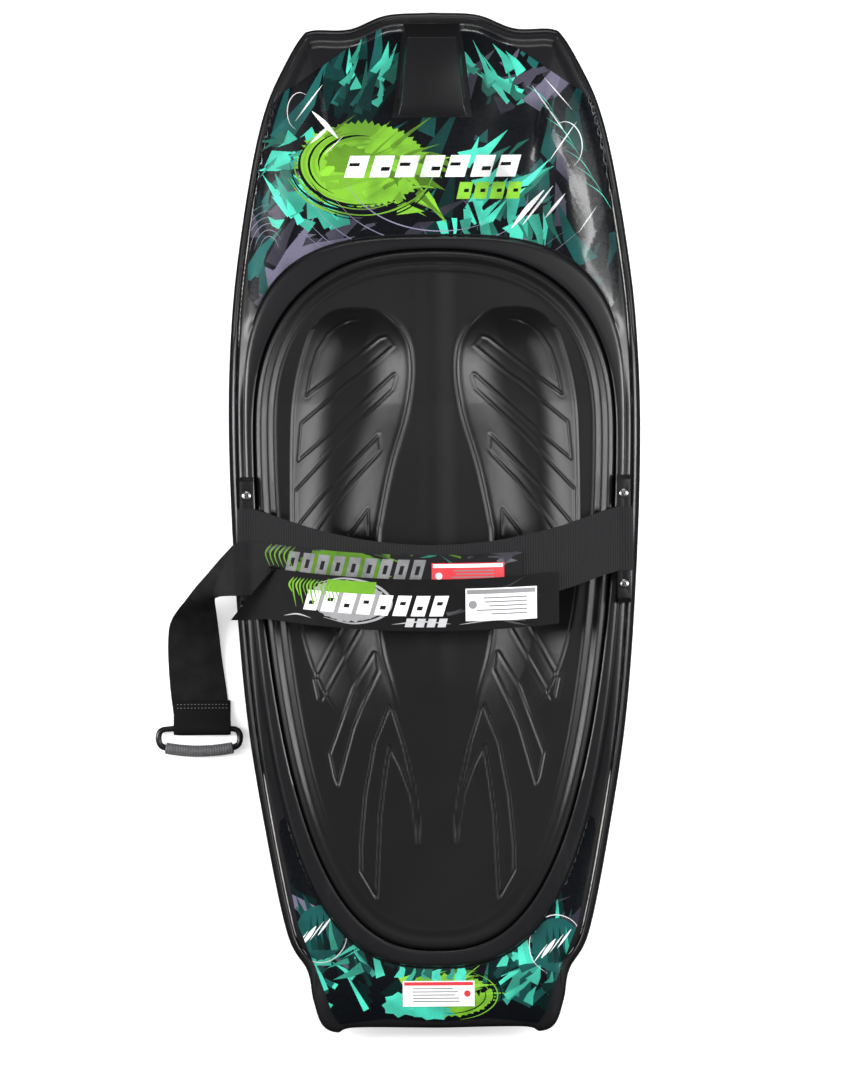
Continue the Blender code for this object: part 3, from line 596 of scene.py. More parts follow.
def lengths_along(points):
    """How far along a run of points each of them lies."""
    return np.concatenate([[0.0], np.cumsum(np.linalg.norm(np.diff(points, axis=0), axis=1))])


def points_at(points, along, wanted):
    """Points at the wanted lengths along a run."""
    return np.stack([np.interp(wanted, along, points[:, axis])
                     for axis in range(points.shape[1])], axis=-1)


def even_points(points, count):
    """A run of points, respaced to an even count along its length."""
    points = np.array(points, float)
    along = lengths_along(points)
    return points_at(points, along, np.linspace(0.0, along[-1], count))


def unit(vectors):
    """The same vectors, each with a length of 1."""
    return vectors / np.maximum(np.linalg.norm(vectors, axis=-1, keepdims=True), NO_LENGTH)


def turned_left(steps):
    """Unit vectors to the left of flat steps."""
    return unit(np.stack([-steps[:, 1], steps[:, 0]], axis=1))


def rounded(points, rounds=2):
    """Cut the corners of a run of points, without moving its ends."""
    points = np.array(points, float)
    for _ in range(rounds):
        first, second = points[:-1], points[1:]
        near = 0.75 * first + 0.25 * second
        far = 0.25 * first + 0.75 * second
        cut = np.stack([near, far], axis=1).reshape(-1, points.shape[1])
        points = np.vstack([points[:1], cut, points[-1:]])
    return points


def whole_outline(steps):
    """The board's plan outline, clockwise from the nose."""
    right = smooth_curve(OUTLINE, steps)
    left = right[1:-1][::-1] * (-1, 1)
    return np.vstack([right, left])


def egg_radius(direction, egg, grow=0.0):
    """Distance from the section centre to an egg outline, along a direction."""
    width, nose, tail, nose_power, tail_power, tail_growth = egg
    low, high = 0.0, 1.0
    for _ in range(30):
        middle = (low + high) / 2
        x = abs(direction[0]) * middle
        y = CENTRE_Y + direction[1] * middle - EGG_Y
        along = abs(y) / (nose if y > 0 else tail)
        power = nose_power if y > 0 else tail_power + tail_growth * along
        outside = (x / width) ** power + along ** power > 1
        low, high = (low, middle) if outside else (middle, high)
    return low + grow


def egg_outline(turns, egg, grow=0.0):
    """Plan points of an egg outline in the directions of some angles."""
    points = []
    for turn in turns:
        direction = math.cos(turn), math.sin(turn)
        reach = egg_radius(direction, egg, grow)
        points.append((reach * direction[0], CENTRE_Y + reach * direction[1]))
    return points


def inset(points, depth):
    """Move a run of section points to its left by depth."""
    normals = turned_left(np.diff(points, axis=0))
    both = np.vstack([normals[:1], normals]) + np.vstack([normals, normals[-1:]])
    return points + unit(both) * depth


def deck_controls(reach, direction, rail_y, foot, wall):
    """The deck's section from the parting line in to the pad's recess."""
    parting = at_station(ROCKER, rail_y) + at_station(HULL_DEPTH, rail_y)
    rise = at_station(RAIL_RISE, rail_y)
    width = at_station(RAIL_WIDTH, rail_y)
    foot_z = at_station(RING_FOOT, CENTRE_Y + direction[1] * foot)
    edge = max(reach - width, foot + 0.003)
    edge_z = parting + rise
    crest = foot_z + RING_HEIGHT
    rail = [(reach, parting), (reach - 0.10 * width, parting + 0.42 * rise),
            (reach - 0.30 * width, parting + 0.74 * rise),
            (reach - 0.66 * width, parting + 0.93 * rise), (edge, edge_z)]
    crown = DECK_CROWN * min(1.0, (edge - foot) / CROWN_SPAN)
    for share in (0.2, 0.4, 0.6, 0.8):
        rail.append((edge + (foot - edge) * share,
                     edge_z + (foot_z - edge_z) * share + 4.4 * crown * share * (1 - share)))
    rail.append((foot, foot_z))
    ring = [(foot, foot_z), (foot - 0.0030, crest - 0.0015), (foot - 0.0050, crest),
            (wall + 0.0035, crest), (wall + 0.0006, crest - 0.0008), (wall, crest - 0.003)]
    return rail, ring


def rail_detail(depth, y):
    """Height added to the rail at an inset from its edge: beads, groove, hood, bevel."""
    size = sizes()
    nose = smooth_steps(y, NOTCH_Y - 0.002, NOTCH_Y + 0.006)
    beads = sum(hump(depth, middle, 0.0012) for middle in TWIN_BEADS)
    groove = size.rail_groove * hump(depth, RAIL_GROOVE_INSET, 0.0017)
    hood = (size.hood_rise * smooth_steps(depth, *HOOD_WALL) * smooth_steps(y, *HOOD_START)
            * (1 - smooth_steps(depth, 0.055, 0.120)))
    bevel = 0.0012 * hump(depth, sum(BEVEL_BAND) / 2, 0.0030)
    nose_part = nose * (size.bead_height * beads + hood)
    nose_fade = 1 - smooth_steps(y, 0.440, 0.560)
    nose = nose * nose_fade
    tail_fade = smooth_steps(y, -0.600, -0.520) * nose_fade
    return nose_part + (1 - nose) * tail_fade * bevel - groove * tail_fade


# Points of a deck section: along the rail's detailed band, across the deck, over the ring.
RAIL_POINTS = 44
DECK_POINTS = 16
RING_POINTS = 14
RAIL_BAND = 0.060


def deck_rows():
    """Rows of the deck's outer surface, each through every section of the board."""
    outline = whole_outline(15)
    normals = turned_left(np.roll(outline, -1, axis=0) - np.roll(outline, 1, axis=0))
    rows = []
    for point, normal in zip(outline, normals):
        ray = point - (0.0, CENTRE_Y)
        reach = np.linalg.norm(ray)
        direction = ray / reach
        foot = egg_radius(direction, RING_EGG)
        wall = egg_radius(direction, PAD_EGG, 0.001)
        rail, ring = deck_controls(reach, direction, point[1], foot, wall)
        rail = rounded(rail)
        along = lengths_along(rail)
        near = min(0.7 * along[-1], RAIL_BAND)
        wanted = np.concatenate([np.linspace(0, near, RAIL_POINTS, endpoint=False),
                                 np.linspace(near, along[-1], DECK_POINTS)])
        rail = points_at(rail, along, wanted)
        depth = (reach - rail[:, 0]) * abs(direction @ normal)
        y = CENTRE_Y + direction[1] * rail[:, 0]
        fade = 1 - smooth_steps(rail[:, 0], foot + 0.004, foot + 0.0005)
        rail[:, 1] += rail_detail(depth, y) * np.where(reach - foot < 0.03, fade, 1.0)
        ring = even_points(rounded(ring), RING_POINTS)[1:]
        run = np.vstack([rail, ring, [(wall, FLOOR_Z)]])
        rows.append((direction, run))
    return rows


def shell_mesh(name, sections, floor_z=None, skin=WALL):
    """A closed shell of radial sections, with its inner skin and a lip at the rail."""
    points = []
    count = len(sections)
    runs = []
    for direction, run in sections:
        thin = run[::3] if len(run) % 3 == 1 else np.vstack([run[::3], run[-1:]])
        inner = inset(thin, skin)
        inner[0] = (run[0][0] - abs(skin), run[0][1])
        runs.append((direction, np.vstack([inner[::-1], run])))
    width = len(runs[0][1])
    for direction, run in runs:
        for radius, height in run:
            points.append((direction[0] * radius, CENTRE_Y + direction[1] * radius, height))
    faces = list(grid_quads(count, width, join_rows=True))
    inner_z = runs[0][1][0][1]
    outer_z = runs[0][1][-1][1]
    points.append((0.0, CENTRE_Y, inner_z if floor_z is None else floor_z - skin))
    points.append((0.0, CENTRE_Y, outer_z if floor_z is None else floor_z))
    for index in range(count):
        after = (index + 1) % count
        faces.append((index * width, after * width, len(points) - 2))
        faces.append((index * width + width - 1, after * width + width - 1, len(points) - 1))
    return mesh_of(name, points, faces)


def hull_rows():
    """The hull's outer surface, from the parting line in to the bottom's middle."""
    rows = []
    for point in whole_outline(8):
        ray = point - (0.0, CENTRE_Y)
        reach = np.linalg.norm(ray)
        direction = ray / reach
        bottom = at_station(ROCKER, point[1])
        depth = at_station(HULL_DEPTH, point[1])
        chine = reach - CHINE
        run = [(reach, bottom + depth), (reach - 0.08 * CHINE, bottom + 0.66 * depth),
               (reach - 0.40 * CHINE, bottom + 0.28 * depth), (chine, bottom)]
        run = [tuple(spot) for spot in rounded(run)]
        for fraction in (0.95, 0.90, 0.82, 0.71, 0.60, 0.48, 0.36, 0.18, 0.06):
            radius = chine * fraction
            run.append((radius, at_station(ROCKER, CENTRE_Y + direction[1] * radius)))
        rows.append((direction, np.array(run)))
    return rows


def surface_of(piece):
    """A function that gives a piece's height below any plan position."""
    tree = BVHTree.FromObject(piece, bpy.context.evaluated_depsgraph_get())

    def height(x, y):
        hit = tree.ray_cast(Vector((x, y, 0.5)), Vector((0, 0, -1)))[0]
        return hit.z if hit else 0.05
    return height


# --- The pad -----------------------------------------------------------------

PAD_COLUMNS = 330
PAD_ROWS = 600
PAD_RIM_DROP = 0.0068       # pad's outer edge below the top of the ring
PAD_FLOOR_GAP = 0.0004
PAD_DROP = 0.0010           # pad's plain top below the top of the ring
PAD_ROUND = (0.0050, 0.0045)    # drop and width of the rounded edge
# Ribs beside the bulging border: distance in from the edge, width and rise.
PAD_RIBS = ((0.0165, 0.0040, -0.0016), (0.0245, 0.0028, 0.0012))
WELL_SLOPES = (0.052, 0.060)    # run of the well's outer and inner slopes


def distance_to(points, path):
    """Distance of each point to a run of straight pieces."""
    nearest = np.full(len(points), 1e9)
    for start, end in zip(np.array(path[:-1]), np.array(path[1:])):
        along = end - start
        share = np.clip(((points - start) @ along) / (along @ along), 0.0, 1.0)
        gap = points - start - share[:, None] * along
        nearest = np.minimum(nearest, np.einsum("ij,ij->i", gap, gap))
    return np.sqrt(nearest)


def inside(points, outline):
    """Whether each point lies in a closed outline."""
    within = np.zeros(len(points), bool)
    x, y = points[:, 0], points[:, 1]
    for (ax, ay), (bx, by) in zip(outline, outline[1:] + outline[:1]):
        crosses = (ay > y) != (by > y)
        slope = (bx - ax) / (by - ay if by != ay else 1e-9)
        within ^= crosses & (x < ax + slope * (y - ay))
    return within


def pad_plan():
    """Plan positions of the pad's grid, and how far out each one is from 0 to 1."""
    angles = np.linspace(-math.pi, math.pi, 721)
    reaches = [egg_radius((math.cos(turn), math.sin(turn)), PAD_EGG) for turn in angles]
    u, v = np.meshgrid(np.linspace(-1, 1, PAD_COLUMNS + 1), np.linspace(-1, 1, PAD_ROWS + 1))
    x = u * np.sqrt(1 - v ** 2 / 2)
    y = v * np.sqrt(1 - u ** 2 / 2)
    share = np.minimum(np.hypot(x, y), 1.0)
    radius = np.interp(np.arctan2(y, x), angles, reaches) * share
    turn = np.arctan2(y, x)
    plan = np.stack([radius * np.cos(turn), CENTRE_Y + radius * np.sin(turn)], axis=-1)
    return plan.reshape(-1, 2), share.reshape(-1)


def pad_heights(plan):
    """Height of the pad's top: border, wells, ridges and pressed channels."""
    size = sizes()
    half = np.abs(plan) * (1, 0) + plan * (0, 1)
    edge = distance_to(plan, egg_outline(np.linspace(-math.pi, math.pi, 361), PAD_EGG))
    top = at_station(RING_FOOT, plan[:, 1]) + RING_HEIGHT - PAD_DROP
    top -= PAD_ROUND[0] * (1 - smooth_steps(edge, 0.0, PAD_ROUND[1])) ** 1.5
    border = 0.15 + 0.85 * smooth_steps(plan[:, 1], -0.420, -0.240)
    top += size.border_bulge * border * hump(edge, 0.0085, 0.0042)
    for middle, width, rise in PAD_RIBS:
        top += rise * border * hump(edge, middle, width)
    outer = [tuple(spot) for spot in smooth_curve(WELL_OUTER, 5)]
    inner = [tuple(spot) for spot in smooth_curve(WELL_INNER, 5)]
    ring = outer + inner[::-1]
    within = inside(half, ring)
    to_outer = distance_to(half, outer)
    to_inner = distance_to(half, inner)
    reach = np.minimum(to_outer / WELL_SLOPES[0], to_inner / WELL_SLOPES[1])
    bowl = np.where(within, 1 - (1 - np.clip(reach, 0, 1)) ** 2.2, 0.0)
    taper = smooth_steps(half[:, 1], -0.262, 0.060) * 0.72 + 0.28
    top -= size.well_depth * bowl * taper * smooth_steps(half[:, 1], -0.265, -0.16)
    fade = smooth_steps(half[:, 1], -0.250, -0.150)
    crest = fade * (1 - smooth_steps(half[:, 1], 0.246, 0.266))
    top += 0.0022 * hump(to_inner, 0.001, 0.0030) * crest
    top -= 0.0018 * hump(to_outer, 0.0, 0.0014) * fade * (half[:, 1] < 0.245)
    top += 0.0016 * smooth_steps(0.030 - half[:, 0], 0.0, 0.03) * fade
    for path in CHANNELS:
        near = distance_to(half, path)
        top -= size.channel_depth * hump(near, 0.0, size.channel_width)
        top += 0.0002 * hump(near, 0.0036, 0.0020)
    return top


def pad_mesh():
    plan, share = pad_plan()
    heights = pad_heights(plan)
    rim = share > 0.9999
    heights[rim] = at_station(RING_FOOT, plan[rim, 1]) + RING_HEIGHT - PAD_RIM_DROP
    width = PAD_COLUMNS + 1
    top = [(x, y, z) for (x, y), z in zip(plan, heights)]
    faces = list(grid_quads(PAD_ROWS + 1, width))
    around = list(range(width))
    around += [row * width + PAD_COLUMNS for row in range(1, PAD_ROWS + 1)]
    around += [PAD_ROWS * width + column for column in range(PAD_COLUMNS - 1, -1, -1)]
    around += [row * width for row in range(PAD_ROWS - 1, 0, -1)]
    base = len(top)
    bottom = [(top[index][0], top[index][1], FLOOR_Z + PAD_FLOOR_GAP) for index in around]
    for index, here in enumerate(around):
        after = (index + 1) % len(around)
        faces.append((around[after], here, base + index, base + after))
    faces.append(tuple(range(base + len(around) - 1, base - 1, -1)))
    mesh = bpy.data.meshes.new("pad_cushion")
    mesh.from_pydata(top + bottom, [], faces)
    mesh.shade_smooth()
    return mesh


# --- Prints ------------------------------------------------------------------

class Artwork:
    """Flat coloured shapes laid over one another inside an outline."""

    def __init__(self, outline, ground, spacing, seed):
        self.outline = [tuple(point) for point in outline]
        self.shapes = [(self.outline, tuple(ground))]
        self.spacing = spacing
        self.chance = random.Random(seed)
        self.holes = []

    def shape(self, points, shade):
        self.shapes.append(([tuple(point) for point in points], tuple(shade)))

    def bar(self, x, y, wide, high, shade, lean=0.0):
        """An upright box, leaning right by a share of its height."""
        shift = lean * high / 2
        self.shape([(x - wide / 2 - shift, y - high / 2), (x + wide / 2 - shift, y - high / 2),
                    (x + wide / 2 + shift, y + high / 2), (x - wide / 2 + shift, y + high / 2)],
                   shade)

    def shard(self, tip, base, width, shade, bend=0.0):
        """A long splinter from a broad base to a sharp tip."""
        tip, base = Vector(tip), Vector(base)
        along = tip - base
        across = Vector((-along.y, along.x)).normalized() * width / 2
        middle = base + along * 0.45 + across * bend
        self.shape([base + across, middle + across * 0.62, tip, middle - across * 0.55,
                    base - across], shade)

    def stroke(self, points, width, shade):
        """A brush stroke along a smooth curve, thin at both ends."""
        line = smooth_curve(points, 7)
        across = turned_left(np.gradient(line, axis=0))
        swell = np.sin(np.linspace(0.12, math.pi - 0.12, len(line)))[:, None] * width / 2
        self.shape(np.vstack([line + across * swell, (line - across * swell)[::-1]]), shade)

    def arc(self, centre, radii, start, end, width, shade):
        turns = np.radians(np.linspace(start, end, 7))
        self.stroke([(centre[0] + radii[0] * math.cos(turn), centre[1] + radii[1] * math.sin(turn))
                     for turn in turns], width, shade)

    def ripples(self, count, centre, radii, growth, turns, turning, width, shades):
        """Arcs round one centre, each larger and turned further than the last."""
        for index in range(count):
            self.arc(centre, (radii[0] + index * growth[0], radii[1] + index * growth[1]),
                     turns[0] + index * turning[0], turns[1] + index * turning[1], width,
                     shades[index % len(shades)])

    def blocks(self, xs, y, size, shade, lean, hollows=(), ink=None, spot=None):
        """Slanted blocks in a row, with small bars cut out of them in turn."""
        spot = spot or (lambda x, y: (x, y))
        for index, x in enumerate(xs):
            self.bar(*spot(x, y), *size, shade, lean)
            if hollows:
                across, level, wide, high = hollows[index % len(hollows)]
                self.bar(*spot(x + across, level), wide, high, ink, lean)

    def splash(self, centre, radii, spikes, shade, rough=0.25):
        """A blot with a ragged edge."""
        points = []
        for step in range(spikes * 2):
            turn = math.pi * step / spikes
            reach = 1 + rough * (self.chance.random() if step % 2 else -self.chance.random() * 0.5)
            points.append((centre[0] + radii[0] * reach * math.cos(turn),
                           centre[1] + radii[1] * reach * math.sin(turn)))
        self.shape(points, shade)

    def shards(self, count, box, length_range, width_range, heading, shades):
        """A burst of splinters within a box, leaning one way."""
        left, low, right, high = box
        for _ in range(count):
            base = (self.chance.uniform(left, right), self.chance.uniform(low, high))
            turn = math.radians(heading + self.chance.uniform(-26, 26))
            far = self.chance.uniform(*length_range)
            tip = (base[0] + far * math.cos(turn), base[1] + far * math.sin(turn))
            self.shard(tip, base, self.chance.uniform(*width_range), self.chance.choice(shades),
                       self.chance.uniform(-0.8, 0.8))

    def grid(self):
        xs, ys = zip(*self.outline)
        columns = np.arange(min(xs), max(xs), self.spacing) + self.spacing / 2
        rows = np.arange(min(ys), max(ys), self.spacing) + self.spacing / 2
        spots = np.array([(x, y) for x in columns for y in rows])
        return spots[inside(spots, self.outline)]

    def flat_mesh(self):
        """Triangles of the whole artwork, with a colour for each."""
        points = []
        edges = []
        for outline, _ in self.shapes + [(hole, None) for hole in self.holes]:
            outline = short_sided(outline, 1.6 * self.spacing)
            start = len(points)
            points += [Vector(point) for point in outline]
            edges += [(start + step, start + (step + 1) % len(outline))
                      for step in range(len(outline))]
        points += [Vector(spot) for spot in self.grid()]
        result = delaunay_2d_cdt(points, edges, [], 0, 1e-6)
        spots = np.array([tuple(point) for point in result[0]])
        faces = [face for face in result[2] if len(set(face)) >= 3]
        centres = np.array([spots[list(face)].mean(axis=0) for face in faces])
        keep = inside(centres, self.outline)
        for hole in self.holes:
            keep &= ~inside(centres, hole)
        shades = np.tile(np.array(self.shapes[0][1], float), (len(faces), 1))
        for outline, shade in self.shapes:
            shades[inside(centres, outline)] = shade
        kept = [face for face, wanted in zip(faces, keep) if wanted]
        used = sorted({corner for face in kept for corner in face})
        renumber = {old: new for new, old in enumerate(used)}
        kept = [tuple(renumber[corner] for corner in face) for face in kept]
        return spots[used], kept, shades[keep]


def short_sided(outline, longest):
    """The same closed outline with no side over a length."""
    points = []
    for start, end in zip(outline, outline[1:] + outline[:1]):
        gap = math.dist(start, end)
        steps = max(1, math.ceil(gap / longest))
        for step in range(steps):
            share = step / steps
            points.append((start[0] + (end[0] - start[0]) * share,
                           start[1] + (end[1] - start[1]) * share))
    return points


NORMAL_STEP = 0.0015
RING_MARGIN = 0.0015
FILM_LIFT = 0.0003
STICKER_LIFT = 0.0011


def surface_normal(position, x, y):
    """The upward normal of the surface that an artwork lies on."""
    across = (Vector(position(x + NORMAL_STEP, y)) - Vector(position(x - NORMAL_STEP, y)))
    along = (Vector(position(x, y + NORMAL_STEP)) - Vector(position(x, y - NORMAL_STEP)))
    normal = across.cross(along).normalized()
    return normal if normal.z > 0 else -normal


def printed_piece(name, artwork, position, thickness, front, back):
    """The artwork laid over a surface, given its own thickness, with a plain back."""
    spots, faces, shades = artwork.flat_mesh()
    mesh = bpy.data.meshes.new(name)
    mesh.from_pydata([tuple(position(x, y)) for x, y in spots], [], faces)
    layer = mesh.attributes.new("print", "FLOAT_COLOR", "CORNER")
    uv = mesh.uv_layers.new(name="UVMap")
    corner_shades = np.ones((len(mesh.loops), 4), np.float32)
    corner_spots = np.zeros((len(mesh.loops), 2), np.float32)
    for polygon, shade in zip(mesh.polygons, shades):
        loops = list(polygon.loop_indices)
        corner_shades[loops, :3] = shade
        for loop in loops:
            corner_spots[loop] = spots[mesh.loops[loop].vertex_index]
    layer.data.foreach_set("color", corner_shades.reshape(-1))
    uv.data.foreach_set("uv", corner_spots.reshape(-1))
    facing = sum(polygon.normal.z * polygon.area for polygon in mesh.polygons)
    if facing < 0:
        mesh.flip_normals()
    mesh.shade_smooth()
    piece = new_piece(name, mesh, (front, back))
    apply_modifier(piece, "SOLIDIFY", thickness=thickness, offset=1.0, use_even_offset=False,
                   material_offset=0, material_offset_rim=1)
    for polygon in piece.data.polygons:
        if polygon.normal.z < -0.3:
            polygon.material_index = 1
    count = len(spots)
    if len(piece.data.vertices) == 2 * count:
        normals = [surface_normal(position, x, y) for x, y in spots]
        rises = [(piece.data.vertices[index].co - piece.data.vertices[index + count].co).z
                 for index in range(count)]
        upper_first = sum(rises) > 0
        lower = [-normal for normal in normals]
        both = normals + lower if upper_first else lower + normals
        piece.data.normals_split_custom_set_from_vertices(both)
    return piece


def both_sides(half):
    return list(half) + [(-x, y) for x, y in reversed(half) if x > 0.0]


def fine_outline(outline, steps=4):
    """Extra points along straight sides, so that a film follows the deck."""
    points = []
    for start, end in zip(outline, outline[1:] + outline[:1]):
        for step in range(steps):
            points.append(tuple(np.array(start) + (np.array(end) - start) * step / steps))
    return points


def ring_window():
    """The raised ring's foot with a margin, which the films are cut out round."""
    return egg_outline(np.linspace(0, math.tau, 240, endpoint=False), RING_EGG, RING_MARGIN)


def shades_of(shade, *gains):
    return [tinted(shade, gain) for gain in gains]


def nose_artwork():
    """Dark ground, teal and lavender shards, a lime splash, and slanted white bars."""
    tone = colours()
    art = Artwork(fine_outline(both_sides(NOSE_FILM), 8), tone.ink, 0.0036, 11)
    art.holes += [HOOK_WINDOW, ring_window()]
    teal = shades_of(tone.teal, 1.25, 1.0, 0.6, 0.25)
    deep = shades_of(tone.deep_teal, 1.6, 1.0, 0.6, 0.3)
    lavender = shades_of(tone.lavender, 1.4, 1.0, 0.6, 0.3)
    lime, paper, ink = tuple(tone.lime), tuple(tone.paper), tuple(tone.ink)
    art.shards(46, (-0.20, 0.27, 0.20, 0.60), (0.06, 0.16), (0.016, 0.050), 60,
               deep + [ink, ink, ink])
    art.shards(26, (-0.23, 0.26, -0.04, 0.37), (0.05, 0.12), (0.014, 0.040), 28,
               lavender + [ink])
    art.shards(20, (-0.235, 0.27, -0.18, 0.42), (0.04, 0.10), (0.010, 0.030), 75,
               lavender + deep + [ink])
    art.shards(20, (0.05, 0.27, 0.225, 0.40), (0.05, 0.12), (0.012, 0.030), 105,
               lavender + deep + [ink, ink])
    art.shards(14, (0.00, 0.52, 0.16, 0.57), (0.03, 0.08), (0.012, 0.030), 40, lavender + [ink])
    art.shards(22, (-0.13, 0.51, -0.04, 0.58), (0.02, 0.06), (0.006, 0.020), 75, teal + deep)
    art.shards(18, (0.04, 0.52, 0.12, 0.57), (0.02, 0.06), (0.006, 0.020), 130, teal + [ink])
    art.shards(26, (0.02, 0.36, 0.13, 0.46), (0.03, 0.08), (0.008, 0.026), 40, teal + [ink, ink])
    art.shards(24, (0.00, 0.35, 0.15, 0.41), (0.03, 0.07), (0.006, 0.022), 285, teal + [ink, ink])
    art.shards(24, (-0.19, 0.36, -0.10, 0.43), (0.02, 0.08), (0.006, 0.022), 125, teal + [ink])
    art.shards(16, (-0.19, 0.45, -0.14, 0.50), (0.02, 0.05), (0.006, 0.018), 200, teal + [ink])
    art.splash((-0.088, 0.448), (0.080, 0.052), 60, lime, 0.10)
    art.shards(26, (-0.15, 0.41, -0.04, 0.49), (0.03, 0.07), (0.004, 0.012), 20,
               shades_of(tone.lime, 1.25, 0.8, 0.55))
    art.shards(16, (-0.06, 0.39, 0.00, 0.46), (0.02, 0.06), (0.006, 0.020), 330,
               shades_of(tone.lime, 1.1, 0.7, 0.4))
    art.splash((-0.106, 0.456), (0.026, 0.016), 13, tinted(lime, 0.55), 0.25)
    for index in range(9):
        reach = 0.040 + index * 0.0052
        art.arc((-0.090, 0.449), (reach * 1.16, reach * 0.78), 60 + index * 17, 170 + index * 23,
                0.0030 + 0.0006 * (index % 3), ink if index % 2 else tinted(lime, 0.8))
    art.ripples(5, (-0.086, 0.444), (0.070, 0.050), (0.005, 0.0035), (200, 290), (9, 12),
                0.0022, [ink])
    art.blocks([-0.0945 + index * 0.0315 for index in range(7)], 0.4455, (0.0245, 0.0270),
               paper, 0.30, ((-0.003, 0.4480, 0.0130, 0.0042), (0.004, 0.4425, 0.0110, 0.0050)),
               ink)
    art.blocks([0.0400 + index * 0.0205 for index in range(4)], 0.4150, (0.0165, 0.0210),
               tinted(lime, 1.15), 0.22, ((0.002, 0.4150, 0.0060, 0.0042),), ink)
    for reach, start in ((0.125, 195), (0.150, 205), (0.178, 200), (0.200, 210), (0.215, 215)):
        art.arc((0.010, 0.455), (reach, reach * 0.72), start, start + 110, 0.0014,
                tinted(tone.lavender, 2.6))
    for start, end, width in (((-0.137, 0.548), (-0.171, 0.503), 0.0022),
                              ((-0.128, 0.497), (-0.152, 0.475), 0.0042),
                              ((-0.110, 0.485), (-0.134, 0.462), 0.0012),
                              ((0.150, 0.420), (0.112, 0.372), 0.0030),
                              ((0.165, 0.410), (0.140, 0.380), 0.0036),
                              ((0.205, 0.395), (0.182, 0.362), 0.0014),
                              ((0.125, 0.545), (0.170, 0.480), 0.0016),
                              ((0.140, 0.555), (0.175, 0.515), 0.0012),
                              ((0.180, 0.500), (0.145, 0.450), 0.0014)):
        middle = ((start[0] + end[0]) / 2, (start[1] + end[1]) / 2)
        art.stroke([start, middle, end], width, tinted(paper, 0.9))
    art.ripples(6, (-0.205, 0.330), (0.014, 0.030), (0.006, 0.008), (30, 150), (12, 9),
                0.0009, [tinted(tone.lavender, 2.2)])
    for index in range(7):
        x, y = 0.118 + 0.012 * index, 0.545 - 0.020 * index
        art.stroke([(x, y), (x + 0.020, y - 0.014), (x + 0.034, y - 0.034)], 0.0009,
                   shades_of(tone.teal, 1.1, 0.7)[index % 2])
    art.stroke([(0.139, 0.415), (0.118, 0.392), (0.098, 0.368)], 0.0062, paper)
    art.stroke([(-0.150, 0.515), (-0.133, 0.498), (-0.118, 0.481)], 0.0062, paper)
    art.arc((0.165, 0.470), (0.022, 0.030), -60, 120, 0.0014, tinted(paper, 0.8))
    art.arc((-0.165, 0.515), (0.016, 0.024), 60, 250, 0.0014, tinted(paper, 0.8))
    return art


def tail_artwork():
    """Teal shards on both sides of a lime patch, over the same dark ground."""
    tone = colours()
    art = Artwork(fine_outline(both_sides(TAIL_FILM), 8), tone.ink, 0.0036, 5)
    art.holes.append(ring_window())
    teal = shades_of(tone.teal, 1.25, 1.0, 0.6, 0.25)
    deep = shades_of(tone.deep_teal, 1.3, 0.7, 0.4, 0.2)
    lavender = shades_of(tone.lavender, 1.4, 1.0, 0.6, 0.3)
    lime, paper, ink = tuple(tone.lime), tuple(tone.paper), tuple(tone.ink)
    art.shards(46, (-0.16, -0.62, 0.16, -0.48), (0.05, 0.12), (0.014, 0.04), 90, deep + [ink, ink])
    for side, heading in ((-1, 130), (1, 50)):
        box = sorted((side * 0.07, side * 0.16))
        art.shards(18, (box[0], -0.56, box[1], -0.46), (0.03, 0.08), (0.008, 0.024), heading,
                   lavender + deep + [ink])
        art.shards(30, (box[0], -0.61, box[1], -0.54), (0.02, 0.06), (0.006, 0.020), heading,
                   teal + deep)
        art.shards(14, (box[0], -0.56, box[1], -0.50), (0.02, 0.05), (0.004, 0.014),
                   heading + 60, teal)
        disc = (side * 0.148, -0.512 if side < 0 else -0.530)
        art.splash(disc, (0.030, 0.034), 24, deep[0], 0.03)
        for index in range(5):
            art.shard((disc[0] - 0.020 + 0.008 * index, disc[1] + 0.024),
                      (disc[0] - 0.014 + 0.008 * index, disc[1] - 0.022), 0.009,
                      (deep + teal[2:])[index], 0.4)
        art.arc(disc, (0.034, 0.038), 90 - 80 * side, 330 - 80 * side, 0.0014,
                tinted(paper, 0.85))
        for index in range(4):
            x, y = side * 0.150 - 0.022 + index * 0.010, disc[1] - 0.010 + index * 0.006
            art.stroke([(x - 0.009, y - 0.012), (x, y), (x + 0.009, y + 0.012)],
                       (0.0014, 0.0052, 0.0014, 0.0026)[index], paper)
    art.splash((0.012, -0.592), (0.056, 0.026), 40, lime, 0.14)
    art.splash((-0.046, -0.604), (0.024, 0.014), 9, teal[0], 0.30)
    art.splash((-0.010, -0.612), (0.026, 0.010), 9, teal[1], 0.30)
    art.shards(26, (-0.05, -0.605, 0.06, -0.560), (0.02, 0.05), (0.003, 0.012), 15,
               shades_of(tone.lime, 1.2, 0.8, 0.4) + [ink])
    art.shards(12, (-0.06, -0.585, 0.06, -0.565), (0.015, 0.030), (0.005, 0.014), 80, teal)
    art.ripples(6, (0.014, -0.592), (0.040, 0.020), (0.005, 0.003), (250, 380), (8, 10),
                0.0016, [lime, ink])
    return art


def label_artwork(width, height, ground, header, seed):
    """A plain label: a coloured rule, a block of grey lines, and a plain emblem."""
    grey = (0.16, 0.16, 0.17)
    art = Artwork(fine_outline([(0, 0), (width, 0), (width, height), (0, height)], 8), ground,
                  0.004, seed)
    art.bar(width * 0.50, height * 0.89, width * 0.96, height * 0.14, header)
    for row in range(5):
        y = height * (0.70 - row * 0.125)
        reach = width * art.chance.uniform(0.50, 0.74)
        art.bar(width * 0.14 + reach / 2, y, reach, height * 0.045, grey)
    art.splash((width * 0.90, height * 0.50), (height * 0.13, height * 0.13), 9, header, 0.05)
    return art


# --- Straps ------------------------------------------------------------------

